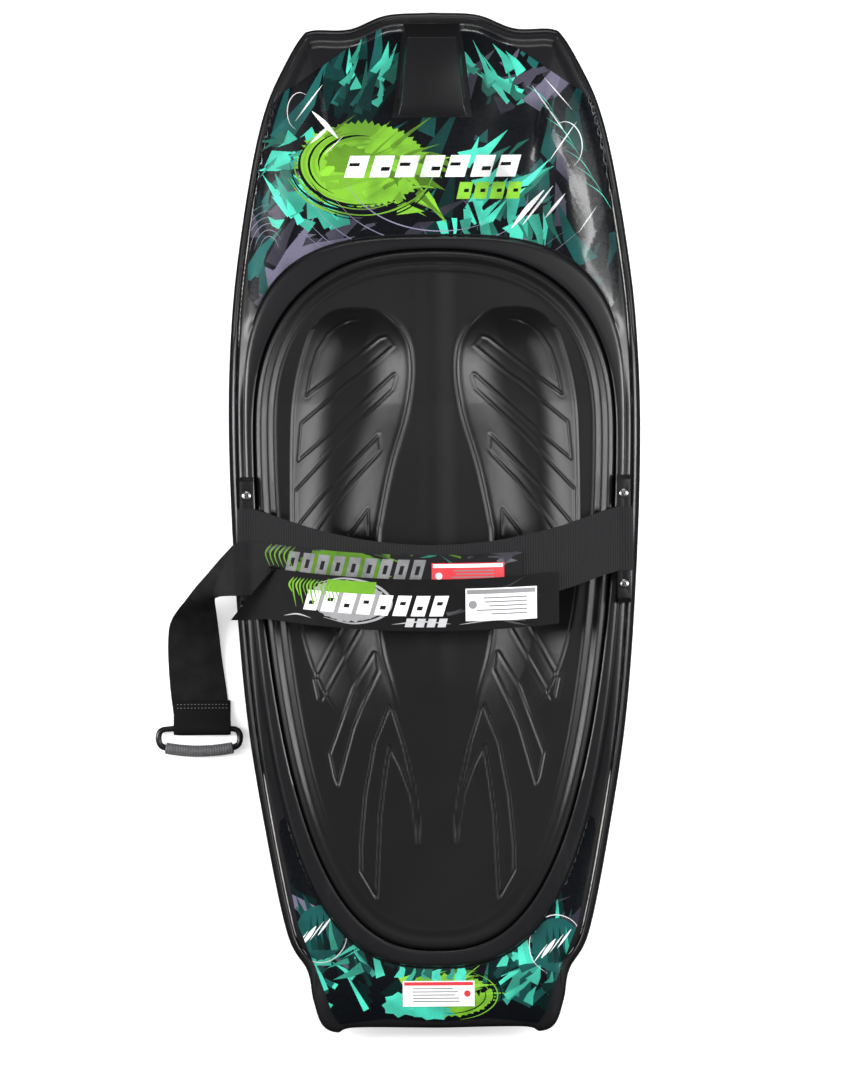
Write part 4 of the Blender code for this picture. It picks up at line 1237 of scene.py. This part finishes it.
def arch_height(x):
    return ARCH_FOOT_Z + ARCH_RISE * (1 - (abs(x) / ARCH_FOOT_X) ** ARCH_POWER)


def arch_point(x, offset):
    rise = arch_height(x + 0.0005) - arch_height(x - 0.0005)
    across = math.hypot(rise, 0.001)
    return x - rise / across * offset, arch_height(x) + 0.001 / across * offset


def edges_of(strap, x):
    share = min(1.0, abs(x) / ARCH_FOOT_X) ** 2
    middle = strap["mid_y"] + (strap["end_y"] - strap["mid_y"]) * share
    return middle + strap["width"] / 2, middle - strap["width"] / 2


def strap_edges(path, strap):
    """Both edges of a strap that follows a path of (x, z)."""
    front = [(x, edges_of(strap, x)[0], z) for x, z in path]
    rear = [(x, edges_of(strap, x)[1], z) for x, z in path]
    return front, rear


def over_arch(start, end, count, offset):
    return [arch_point(x, offset) for x in np.linspace(start, end, count)]


class Cloth:
    """A strip between two edge lines, read by its length and its width."""

    def __init__(self, front, rear):
        self.front, self.rear = np.array(front), np.array(rear)
        self.along = lengths_along((self.front + self.rear) / 2)
        self.length = self.along[-1]
        self.width = float(np.linalg.norm(self.front - self.rear, axis=1).mean())

    def at(self, u, v):
        """Position at a length u from the start and a width v from the rear edge."""
        near, far = (points_at(edge, self.along, u) for edge in (self.rear, self.front))
        return near + (far - near) * (v / self.width)


def strip_piece(name, cloth, thickness, materials, across, step=0.004):
    """A closed strip of cloth with soft edges and a UV map in metres."""
    count = max(8, int(cloth.length / step))
    grid = np.array([[cloth.at(u, v) for v in np.linspace(0, cloth.width, across + 1)]
                     for u in np.linspace(0, cloth.length, count + 1)])
    normal = unit(np.cross(np.gradient(grid, axis=0), np.gradient(grid, axis=1)))
    width = across + 1
    thin = np.ones(width)
    thin[[0, -1]] = CLOTH_EDGE
    lift = normal * (thickness / 2 * thin)[None, :, None]
    points = np.vstack([(grid + lift).reshape(-1, 3), (grid - lift).reshape(-1, 3)])
    under = (count + 1) * width
    faces = []
    for quad in grid_quads(count + 1, width):
        faces += [quad, tuple(under + corner for corner in quad[::-1])]
    for row in range(count):
        for column in (0, across):
            here = row * width + column
            faces.append((here, here + width, under + here + width, under + here))
    for column in range(across):
        for row in (0, count):
            here = row * width + column
            faces.append((here, here + 1, under + here + 1, under + here))
    mesh = mesh_of(name, points, faces, merge=False)
    uv = mesh.uv_layers.new(name="UVMap")
    for loop in mesh.loops:
        index = loop.vertex_index % under
        uv.data[loop.index].uv = (index // width * cloth.length / count,
                                  index % width * cloth.width / across)
    strip = new_piece(name, mesh, materials)
    smooth_by_angle(strip, 40)
    return strip


def base_cloth():
    clear = STRAP_THICKNESS / 2 + LOOP_GAP
    top = BAR_TOP + clear
    bottom = BAR_TOP - BAR_THICKNESS - clear
    out = BAR_X + BAR_WIDTH / 2 + clear
    loop = [(0.2290, top + 0.0004), (0.2400, top), (out - 0.0006, top - 0.0006),
            (out, (top + bottom) / 2), (out - 0.0006, bottom + 0.0006), (0.2405, bottom),
            (0.2300, bottom), (0.2235, bottom + 0.0010), (0.2130, 0.0940), (0.2030, 0.1028),
            (0.1833, 0.1130), (0.1634, 0.1216)]
    path = [(-x, z) for x, z in reversed(loop)] + over_arch(-0.208, 0.208, 41, 0.0) + loop
    return Cloth(*strap_edges(path, BASE_STRAP))


def loose_cloth():
    """The pull strap over the arch, and its loose end down to the ground."""
    pull = over_arch(0.106, -0.208, 33, PULL_OFFSET)
    pull += [(-0.2290, 0.0996), (-0.2400, 0.0994)]
    front, rear = strap_edges(pull, PULL_STRAP)
    outer = smooth_curve(TAIL_OUTER, 4)
    inner = smooth_curve(TAIL_INNER, 4)
    return Cloth(front + [tuple(point) for point in outer],
                 rear + [tuple(point) for point in inner])


def closure_cloth():
    """The closure band, with its left end curled up off the strap."""
    front, rear = strap_edges(over_arch(0.149, -0.205, 33, CLOSURE_OFFSET), CLOSURE)
    near, far = edges_of(CLOSURE, -0.214)
    front += [(-0.204, near, 0.1180), (-0.200, near + 0.002, 0.1260)]
    rear += [(-0.234, far - 0.002, 0.1060), (-0.255, far - 0.001, 0.1110)]
    front = front[:-2] + [tuple(point) for point in smooth_curve(front[-3:], 4)[1:]]
    rear = rear[:-2] + [tuple(point) for point in smooth_curve(rear[-3:], 4)[1:]]
    return Cloth(front, rear)


def strap_artwork(cloth, ground, seed, spacing=0.005):
    outline = fine_outline([(0, 0), (cloth.length, 0), (cloth.length, cloth.width),
                            (0, cloth.width)], 60)
    return Artwork(outline, ground, spacing, seed)


def loose_artwork(cloth):
    """A faded print on the pull strap, plain past its lower half, with a sewn crease."""
    tone = colours()
    art = strap_artwork(cloth, tone.band, 21)
    grey, faded = (0.045, 0.045, 0.052), tinted(tone.lavender, 0.5)
    art.shape([(0, 0), (0.43, 0), (0.37, cloth.width), (0, cloth.width)], (0.006, 0.006, 0.007))
    art.shards(26, (0.02, 0.035, 0.34, 0.07), (0.02, 0.07), (0.003, 0.014), 170,
               [grey, faded, (0.09, 0.09, 0.10), (0.004, 0.004, 0.005)])
    art.shards(9, (0.03, 0.04, 0.18, 0.066), (0.02, 0.05), (0.002, 0.006), 10,
               [tinted(tone.teal, 0.3), tinted(tone.lime, 0.4)])
    art.splash((0.225, 0.040), (0.058, 0.024), 24, tinted(tone.lime, 0.42), 0.15)
    art.blocks([0.130 + index * 0.0200 for index in range(9)], 0.044, (0.0145, 0.024),
               (0.20, 0.20, 0.205), PRINT_LEAN, ((0.0, 0.044, 0.0050, 0.010),),
               (0.006, 0.006, 0.007))
    for index in range(6):
        start = 0.285 + index * 0.0065
        art.stroke([(start, 0.062), (start + 0.010, 0.050), (start + 0.004, 0.036)], 0.0020,
                   tinted(tone.lime, 0.6))
    return art


def closure_artwork(cloth):
    """Slanted bars, a lime scribble, a pale ellipse of brush strokes, on near-black."""
    tone = colours()
    art = strap_artwork(cloth, tone.band, 8)
    paper, lime, ink = tuple(tone.paper), tuple(tone.lime), tuple(tone.band)
    pale = (0.30, 0.30, 0.31)
    middle = cloth.width / 2

    def spot(x, up):
        return (CLOSURE_PRINT_X - x) * CLOSURE_STRETCH, middle + up

    art.shards(10, (0.06, 0.01, 0.15, 0.05), (0.02, 0.05), (0.003, 0.010), 175,
               [(0.03, 0.03, 0.034), (0.05, 0.05, 0.055)])
    centre = spot(-0.104, 0.002)
    for reach in (0.055, 0.047, 0.038, 0.028):
        art.arc(centre, (reach, reach * 0.52), 15 + reach * 500, 255 + reach * 900, 0.0036, pale)
    art.arc(centre, (0.040, 0.017), -80, 60, 0.0050, tinted(pale, 0.5))
    art.splash(centre, (0.048, 0.026), 30, tinted(pale, 0.9), 0.08)
    art.bar(*spot(-0.100, 0.020), 0.062, 0.016, tinted(lime, 0.75), -0.2)
    art.blocks([0.006 - index * 0.0220 for index in range(8)], -0.001, (0.0170, 0.0260), paper,
               PRINT_LEAN, ((0.001, 0.002, 0.0070, 0.0045), (-0.001, -0.004, 0.0070, 0.0050)),
               ink, spot)
    art.blocks([0.010 - index * 0.0130 for index in range(4)], -0.0225, (0.0100, 0.0110),
               tinted(pale, 1.5), -0.25, spot=spot)
    for index in range(14):
        x = -0.112 - index * 0.0046
        low = art.chance.uniform(-0.012, 0.008)
        art.stroke([spot(x, 0.026), spot(x - 0.006, 0.016), spot(x - 0.002, low)],
                   art.chance.uniform(0.0014, 0.0032), tinted(lime, 0.7 + 0.1 * (index % 3)))
    for start, end in ((0.110, 0.030), (0.020, -0.050), (-0.150, -0.185)):
        art.stroke([spot(start, -0.024), spot((start + end) / 2, -0.021), spot(end, -0.025)],
                   0.0018, tinted(paper, 0.5))
    return art


def stitch_rows(name, lines):
    """Short threads along lines of points, all one mesh."""
    points = []
    faces = []
    for line in lines:
        line = np.array(line, float)
        total = np.linalg.norm(np.diff(line, axis=0), axis=1).sum()
        spots = even_points(line, max(2, int(total / STITCH_PITCH) * 2))
        for start, end in zip(spots[::2], spots[1::2]):
            along = end - start
            along /= np.linalg.norm(along)
            side = np.cross(along, (0, 0, 1.0))
            side /= max(np.linalg.norm(side), 1e-6)
            up = np.cross(side, along)
            base = len(points)
            for share, swell in ((0, 0.35), (0.3, 1), (0.7, 1), (1, 0.35)):
                middle = start + (end - start) * share
                for turn in range(6):
                    angle = math.pi * turn / 3
                    points.append(middle + STITCH_RADIUS * swell * (math.cos(angle) * side
                                                                    + math.sin(angle) * up))
            faces += grid_quads(4, 6, base, join_columns=True)
            faces.append(tuple(base + turn for turn in range(5, -1, -1)))
            faces.append(tuple(base + 18 + turn for turn in range(6)))
    return mesh_of(name, points, faces)


def ringed_tube(name, path, radii, sides):
    """A round bar along a level path, with its own radius at each point."""
    points = []
    count = len(path)
    for index, spot in enumerate(path):
        along = np.array(path[min(index + 1, count - 1)]) - np.array(path[max(index - 1, 0)])
        along /= np.linalg.norm(along)
        across = np.cross(along, (0, 0, 1.0))
        for turn in np.arange(sides) * 2 * math.pi / sides:
            points.append(np.array(spot) + radii[index] * (math.cos(turn) * across
                                                           + math.sin(turn) * np.array((0, 0, 1))))
    faces = list(grid_quads(count, sides, join_columns=True))
    faces.append(tuple(range(sides - 1, -1, -1)))
    faces.append(tuple(range((count - 1) * sides, count * sides)))
    return mesh_of(name, points, faces)


def handle_outer_y(x):
    left, right = HANDLE_ENDS
    share = (x - (left + right) / 2) / ((right - left) / 2)
    return HANDLE_OUTER_Y + 0.006 * share ** 2


# --- Operators ---------------------------------------------------------------

# Each light's name, place, size, power and the point it shines at.
LIGHTS = (("soft_top", (0.0, 0.2, 3.0), (2.6, 3.2), 30.0, (0.0, 0.0, 0.0)),
          ("strip_left", (-2.20, 0.1, 1.15), (0.40, 3.0), 80.0, (0.0, 0.0, 0.05)),
          ("strip_right", (2.20, 0.1, 1.15), (0.40, 3.0), 80.0, (0.0, 0.0, 0.05)),
          ("strip_film", (1.30, 0.55, 2.70), (0.14, 1.5), 9.0, (0.1, 0.4, 0.08)),
          ("strip_nose", (0.0, 2.4, 1.1), (1.6, 0.3), 12.0, (0.0, 0.3, 0.05)))
DECK_LEVEL = 0.080          # height at which the view has its stated size
EYE_PLAN = (-0.0042, -0.0212)
EYE_TURN = -0.0073

MATERIALS = {}


def material(name):
    """A finish made on first use."""
    if name not in MATERIALS:
        tone = colours()
        makers = {
            "shell": lambda: moulded_plastic("shell_plastic", tone.shell),
            "hardware": lambda: moulded_plastic("hardware_plastic", tinted(tone.shell, 0.9)),
            "pad": lambda: foam_pad(tone.pad),
            "film": lambda: glossy_print("printed_film", 0.7),
            "film_back": lambda: plain_back("film_back", (0.020, 0.020, 0.021)),
            "webbing": lambda: ribbed_webbing(tone.webbing),
            "pull": lambda: woven_print("printed_webbing", 0.45),
            "closure": lambda: woven_print("printed_band", 0.15),
            "band": lambda: plain_cloth("black_band", tuple(tone.band), 0.0014),
            "nap": lambda: napped_cloth("napped_patch", (0.010, 0.010, 0.011)),
            "label": lambda: printed_paper("printed_label"),
            "steel": lambda: metal("stainless_steel", (0.60, 0.60, 0.61), 0.26),
            "brass": lambda: metal("brass", (0.70, 0.52, 0.22), 0.32),
            "foam": bead_foam,
            "grip": lambda: rubber_grip(tone.grip),
            "thread": lambda: plain_cloth("thread", (0.14, 0.14, 0.15), 0.0006),
        }
        MATERIALS[name] = makers[name]()
    return MATERIALS[name]


def rounded_hardware(name, node, width, angle):
    """A copy of a CAD node with its edges sharper than an angle rounded off."""
    piece = copy_of_node(name, node)
    apply_modifier(piece, "BEVEL", width=width, segments=4, limit_method="ANGLE",
                   angle_limit=math.radians(angle))
    smooth_by_angle(piece, 40)
    finish_piece(piece, node, material=material("hardware"))


def sewn_label(name, reach, offset, strap, ground, header, seed):
    """A printed label over the arch, between two distances from the board's middle."""
    cloth = Cloth(*strap_edges(over_arch(*reach, 12, offset + LABEL_LIFT), strap))
    art = label_artwork(cloth.length, cloth.width, ground, header, seed)
    return printed_piece(name, art, cloth.at, sizes().film_thickness, material("label"),
                         material("film_back"))


def printed_band(name, cloth, artwork, finish):
    """A printed strap, centred on its cloth's own surface."""
    return printed_piece(name, artwork, lambda u, v: cloth.at(u, v) - (0, 0, BAND_THICKNESS / 2),
                         BAND_THICKNESS, material(finish), material("band"))


class MakeStage(bpy.types.Operator):
    """Pale floor, soft studio lights and the camera straight above the board"""
    bl_idname = "kneeboard.stage"
    bl_label = "Stage"

    view_height: FloatProperty(name="View height", description="Height of the view on the deck",
                               default=1.351, unit="LENGTH")
    camera_height: FloatProperty(name="Camera height", description="Camera above the floor",
                                 default=6.6, unit="LENGTH")

    def execute(self, context):
        scene = context.scene
        deselect()
        bpy.ops.mesh.primitive_plane_add(size=60.0, location=(0.0, 0.0, 0.0))
        floor = context.object
        floor.name = "studio_floor"
        paint = Finish("studio_floor", colours().floor, 0.9, specular_ior_level=0.0)
        paint.feed("Roughness", 0.85 + 0.1 * paint.noise(3.0))
        paint.feed("Emission Color", (1.0, 1.0, 1.0, 1.0))
        paint.feed("Emission Strength", 0.30)
        floor.data.materials.append(paint.material)
        floor.visible_glossy = False

        world = bpy.data.worlds.new("studio")
        scene.world = world
        world.use_nodes = True
        background = world.node_tree.nodes["Background"].inputs
        background["Color"].default_value = (1.0, 1.0, 1.0, 1.0)
        background["Strength"].default_value = 0.50
        world.cycles_visibility.glossy = False

        for name, place, size, power, target in LIGHTS:
            lamp = bpy.data.lights.new(name, "AREA")
            lamp.shape = "RECTANGLE"
            lamp.size, lamp.size_y = size
            lamp.energy = power
            light = bpy.data.objects.new(name, lamp)
            scene.collection.objects.link(light)
            light.location = place
            heading = Vector(target) - Vector(place)
            light.rotation_euler = heading.to_track_quat("-Z", "Y").to_euler()
        bpy.data.objects["soft_top"].visible_glossy = False

        camera = bpy.data.cameras.new("camera")
        camera.sensor_width = 36.0
        distance = self.camera_height - DECK_LEVEL
        camera.lens = camera.sensor_width * distance / self.view_height
        eye = bpy.data.objects.new("camera", camera)
        scene.collection.objects.link(eye)
        eye.location = (*EYE_PLAN, self.camera_height)
        eye.rotation_euler = (0.0, 0.0, EYE_TURN)
        scene.camera = eye
        scene.view_settings.view_transform = "Standard"
        return {"FINISHED"}


class MakeDeck(bpy.types.Operator):
    """Moulded deck: rail beads, groove, nose hood and the ring round the pad"""
    bl_idname = "kneeboard.deck"
    bl_label = "Deck"

    def execute(self, context):
        deck = new_piece("deck_cover", shell_mesh("deck_cover", deck_rows(), FLOOR_Z))
        smooth_by_angle(deck, 50)
        finish_piece(deck, "deck_shell", material=material("shell"))
        return {"FINISHED"}


class MakeHull(bpy.types.Operator):
    """Moulded hull with its two shallow tail fins"""
    bl_idname = "kneeboard.hull"
    bl_label = "Hull"

    def execute(self, context):
        hull = new_piece("hull_cover", shell_mesh("hull_cover", hull_rows(), skin=-WALL))
        smooth_by_angle(hull, 40)
        finish_piece(hull, "hull_shell", material=material("shell"))
        for side, name in ((-1, "fin_left"), (1, "fin_right")):
            x, y, z = side * FIN_MIDDLE[0], *FIN_MIDDLE[1:]
            deselect()
            bpy.ops.mesh.primitive_cube_add(size=1.0, location=(x, y, z))
            fin = context.object
            fin.name = name
            fin.scale = FIN_SIZE
            bpy.ops.object.transform_apply(location=True, rotation=True, scale=True)
            for vertex in fin.data.vertices:
                if vertex.co.z < z:
                    vertex.co.x = x + (vertex.co.x - x) * FIN_TAPER[0]
                    vertex.co.y = y + (vertex.co.y - y) * FIN_TAPER[1]
                    vertex.co.z = FIN_KEEL_Z
            apply_modifier(fin, "BEVEL", width=0.0014, segments=3)
            fin.data.shade_smooth()
            fin.data.materials.append(material("shell"))
            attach(fin, "board")
        return {"FINISHED"}


class MakePad(bpy.types.Operator):
    """Foam knee pad with its rounded border, two wells and pressed channels"""
    bl_idname = "kneeboard.pad"
    bl_label = "Knee pad"

    def execute(self, context):
        pad = new_piece("pad_cushion", pad_mesh())
        finish_piece(pad, "knee_pad", material=material("pad"))
        return {"FINISHED"}


class MakeFilms(bpy.types.Operator):
    """Printed nose and tail films, and the tail label"""
    bl_idname = "kneeboard.films"
    bl_label = "Printed films"

    def execute(self, context):
        height = surface_of(bpy.data.objects["deck_cover"])
        thick = sizes().film_thickness
        for name, node, artwork in (("nose_film", "nose_graphic", nose_artwork()),
                                    ("tail_film", "tail_graphic", tail_artwork())):
            film = printed_piece(name, artwork, lambda x, y: (x, y, height(x, y) + FILM_LIFT),
                                 thick, material("film"), material("film_back"))
            finish_piece(film, node)
        x, y, wide, high = TAIL_LABEL
        left, low = x - wide / 2, y - high / 2
        art = label_artwork(wide, high, colours().paper, colours().red, 3)
        sticker = printed_piece(
            "tail_sticker", art,
            lambda u, v: (left + u, low + v, height(left + u, low + v) + STICKER_LIFT),
            thick, material("label"), material("film_back"))
        finish_piece(sticker, "tail_label")
        return {"FINISHED"}


class MakeTowHook(bpy.types.Operator):
    """Wedge-shaped tow hook with rounded edges, over its rope notch"""
    bl_idname = "kneeboard.tow_hook"
    bl_label = "Tow hook"

    def execute(self, context):
        rounded_hardware("hook_block", "tow_hook", 0.0038, 28)
        return {"FINISHED"}


class MakeAnchors(bpy.types.Operator):
    """Strap anchor bars and their cross-recessed screws"""
    bl_idname = "kneeboard.anchors"
    bl_label = "Strap anchors"

    def execute(self, context):
        for side in ("left", "right"):
            rounded_hardware("bridge_" + side, "anchor_bar_" + side, 0.0016, 35)
            for end in ("front", "rear"):
                self.screw(context, side + "_" + end)
        return {"FINISHED"}

    def screw(self, context, place):
        """A pan head on its shank, with a cross recess sunk into the head."""
        low, high = (Vector(corner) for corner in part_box("anchor_screw_" + place))
        middle = (low + high) / 2
        radius = (high.x - low.x) / 2
        deselect()
        bpy.ops.mesh.primitive_cylinder_add(
            vertices=32, radius=radius, depth=SCREW_RIM_DEPTH,
            location=(middle.x, middle.y, high.z - SCREW_RIM_DROP))
        head = context.object
        head.name = "screw_" + place
        bpy.ops.object.mode_set(mode="EDIT")
        bpy.ops.mesh.select_all(action="DESELECT")
        bpy.ops.object.mode_set(mode="OBJECT")
        cap = [polygon.index for polygon in head.data.polygons if polygon.normal.z > 0.9]
        bottom = [polygon.index for polygon in head.data.polygons if polygon.normal.z < -0.9]
        for chosen, moves in ((cap, SCREW_CAP), (bottom, SCREW_SHANK)):
            for polygon in head.data.polygons:
                polygon.select = polygon.index in chosen
            bpy.ops.object.mode_set(mode="EDIT")
            bpy.ops.mesh.select_mode(type="FACE")
            for rise, gain in moves:
                bpy.ops.mesh.extrude_region_move(
                    TRANSFORM_OT_translate={"value": (0.0, 0.0, rise)})
                bpy.ops.transform.resize(value=(gain, gain, 1.0))
            bpy.ops.object.mode_set(mode="OBJECT")
        bpy.ops.object.transform_apply(location=True, rotation=True, scale=True)
        for turn in (0.0, math.pi / 2):
            deselect()
            bpy.ops.mesh.primitive_cube_add(size=1.0, rotation=(0.0, 0.0, turn + SCREW_TURN),
                                            location=(middle.x, middle.y, high.z))
            slot = context.object
            slot.scale = (radius * 1.05, *SCREW_SLOT)
            apply_modifier(head, "BOOLEAN", operation="DIFFERENCE", solver="EXACT", object=slot)
            bpy.data.objects.remove(slot, do_unlink=True)
        smooth_by_angle(head, 35)
        finish_piece(head, "anchor_screw_" + place, material=material("steel"))


class MakeBaseStrap(bpy.types.Operator):
    """Ribbed base strap, looped round both anchor bars"""
    bl_idname = "kneeboard.base_strap"
    bl_label = "Base strap"

    def execute(self, context):
        cloth = base_cloth()
        strap = strip_piece("base_webbing", cloth, STRAP_THICKNESS, (material("webbing"),),
                            across=16)
        finish_piece(strap, "base_strap")
        return {"FINISHED"}


class MakeLooseStrap(bpy.types.Operator):
    """Pull strap over the arch and its loose end, one length of cloth, with a red label"""
    bl_idname = "kneeboard.loose_strap"
    bl_label = "Pull strap"

    def execute(self, context):
        cloth = loose_cloth()
        strap = printed_band("loose_webbing", cloth, loose_artwork(cloth), "pull")
        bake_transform(strap)
        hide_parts("pull_strap", "strap_tail")
        tag = sewn_label("red_label", (0.084, -0.005), PULL_OFFSET, PULL_LABEL, colours().red,
                         colours().paper, 4)
        finish_piece(tag, "strap_label", "strap_pull")
        return {"FINISHED"}


class MakeClosure(bpy.types.Operator):
    """Printed closure band with its white label and napped patches"""
    bl_idname = "kneeboard.closure"
    bl_label = "Closure band"

    def execute(self, context):
        cloth = closure_cloth()
        band = printed_band("closure_strap", cloth, closure_artwork(cloth), "closure")
        finish_piece(band, "closure_band", "strap_closure")
        tag = sewn_label("white_label", (0.122, 0.036), CLOSURE_OFFSET, CLOSURE_LABEL,
                         colours().paper, (0.20, 0.20, 0.21), 9)
        finish_piece(tag, "closure_label", "strap_closure")
        patches = (("loop_nap", "loop_patch", PATCH_OFFSET, (-0.035, -0.195), "strap_pull"),
                   ("hook_nap", "hook_patch", PATCH_OFFSET + CLOTH_GAP + PATCH_THICKNESS,
                    (-0.040, -0.190), "strap_closure"))
        for name, node, offset, reach, body in patches:
            patch_cloth = Cloth(*strap_edges(over_arch(*reach, 30, offset), PATCHES))
            patch = strip_piece(name, patch_cloth, PATCH_THICKNESS, (material("nap"),), 6)
            finish_piece(patch, node, body)
        return {"FINISHED"}


class MakeHandle(bpy.types.Operator):
    """Folded cuff with its seam, and the pull handle with a ribbed grip"""
    bl_idname = "kneeboard.handle"
    bl_label = "Cuff and handle"

    def execute(self, context):
        right, left = CUFF_XS
        loop = smooth_curve(CUFF_LOOP, 4)
        cloth = Cloth([(right, y, z) for y, z in loop], [(left, y, z) for y, z in loop])
        cuff = strip_piece("strap_cuff", cloth, BAND_THICKNESS, (material("band"),), 14, 0.003)
        finish_piece(cuff, "tail_cuff", "strap_end")
        line = [(x, *CUFF_SEAM) for x in np.linspace(left + 0.004, right - 0.004, 12)]
        second = [(x, y - 0.0045, z + 0.0004) for x, y, z in line]
        seam = new_piece("cuff_stitches", stitch_rows("cuff_stitches", [line, second]),
                         (material("thread"),))
        seam.data.shade_smooth()
        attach(seam, "strap_end")

        bars = copy_of_node("handle_loop", "handle_frame")
        apply_modifier(bars, "SUBSURF", levels=1, render_levels=1)
        bars.data.shade_smooth()
        finish_piece(bars, "handle_frame", "handle", material("hardware"))
        near, far = HANDLE_ENDS
        ribs = sizes().grip_ribs
        xs = np.linspace(far - 0.009, near + 0.009, ribs * 8 + 1)
        path = [(x, handle_outer_y(x), HANDLE_Z) for x in xs]
        swell = np.abs(np.sin(np.linspace(0, math.pi * ribs, len(xs)))) ** 0.6
        ends = np.minimum(1.0, np.minimum(np.arange(len(xs)), np.arange(len(xs))[::-1]) / 5)
        radii = (GRIP_RADIUS - RIB_DEPTH + RIB_DEPTH * swell) * (0.82 + 0.18 * np.sqrt(ends))
        grip = new_piece("ribbed_grip", ringed_tube("ribbed_grip", path, radii, 20),
                         (material("grip"),))
        grip.data.shade_smooth()
        finish_piece(grip, "handle_grip", "handle")
        return {"FINISHED"}


class FinishInside(bpy.types.Operator):
    """Finishes for the core, inserts and bolts inside the board"""
    bl_idname = "kneeboard.inside"
    bl_label = "Inside parts"

    def execute(self, context):
        for name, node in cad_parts.items():
            if name == "foam_core":
                chosen = material("foam")
            elif name.startswith("anchor_insert"):
                chosen = material("brass")
            elif name.startswith("tow_hook_bolt"):
                chosen = material("steel")
            else:
                continue
            for slot in node.material_slots:
                slot.material = chosen
        return {"FINISHED"}


PIECE_OPERATORS = (MakeStage, MakeDeck, MakeHull, MakePad, MakeFilms, MakeTowHook, MakeAnchors,
                   MakeBaseStrap, MakeLooseStrap, MakeClosure, MakeHandle, FinishInside)


class KneeboardPanel(bpy.types.Panel):
    """Buttons and settings for each piece of the kneeboard"""
    bl_idname = "VIEW3D_PT_kneeboard"
    bl_label = "Kneeboard"
    bl_space_type = "VIEW_3D"
    bl_region_type = "UI"
    bl_category = "Kneeboard"

    def draw(self, context):
        for operator in PIECE_OPERATORS:
            self.layout.operator(operator.bl_idname)
        for group in (context.scene.kneeboard_sizes, context.scene.kneeboard_colours):
            for name in group.__annotations__:
                self.layout.prop(group, name)


CLASSES = (KneeboardSizes, KneeboardColours, *PIECE_OPERATORS, KneeboardPanel)


def register():
    for item in CLASSES:
        bpy.utils.register_class(item)
    bpy.types.Scene.kneeboard_sizes = PointerProperty(type=KneeboardSizes)
    bpy.types.Scene.kneeboard_colours = PointerProperty(type=KneeboardColours)


def unregister():
    del bpy.types.Scene.kneeboard_colours
    del bpy.types.Scene.kneeboard_sizes
    for item in reversed(CLASSES):
        bpy.utils.unregister_class(item)


def main():
    register()
    for operator in PIECE_OPERATORS:
        group, name = operator.bl_idname.split(".")
        getattr(getattr(bpy.ops, group), name)()


if __name__ == "__main__":
    main()
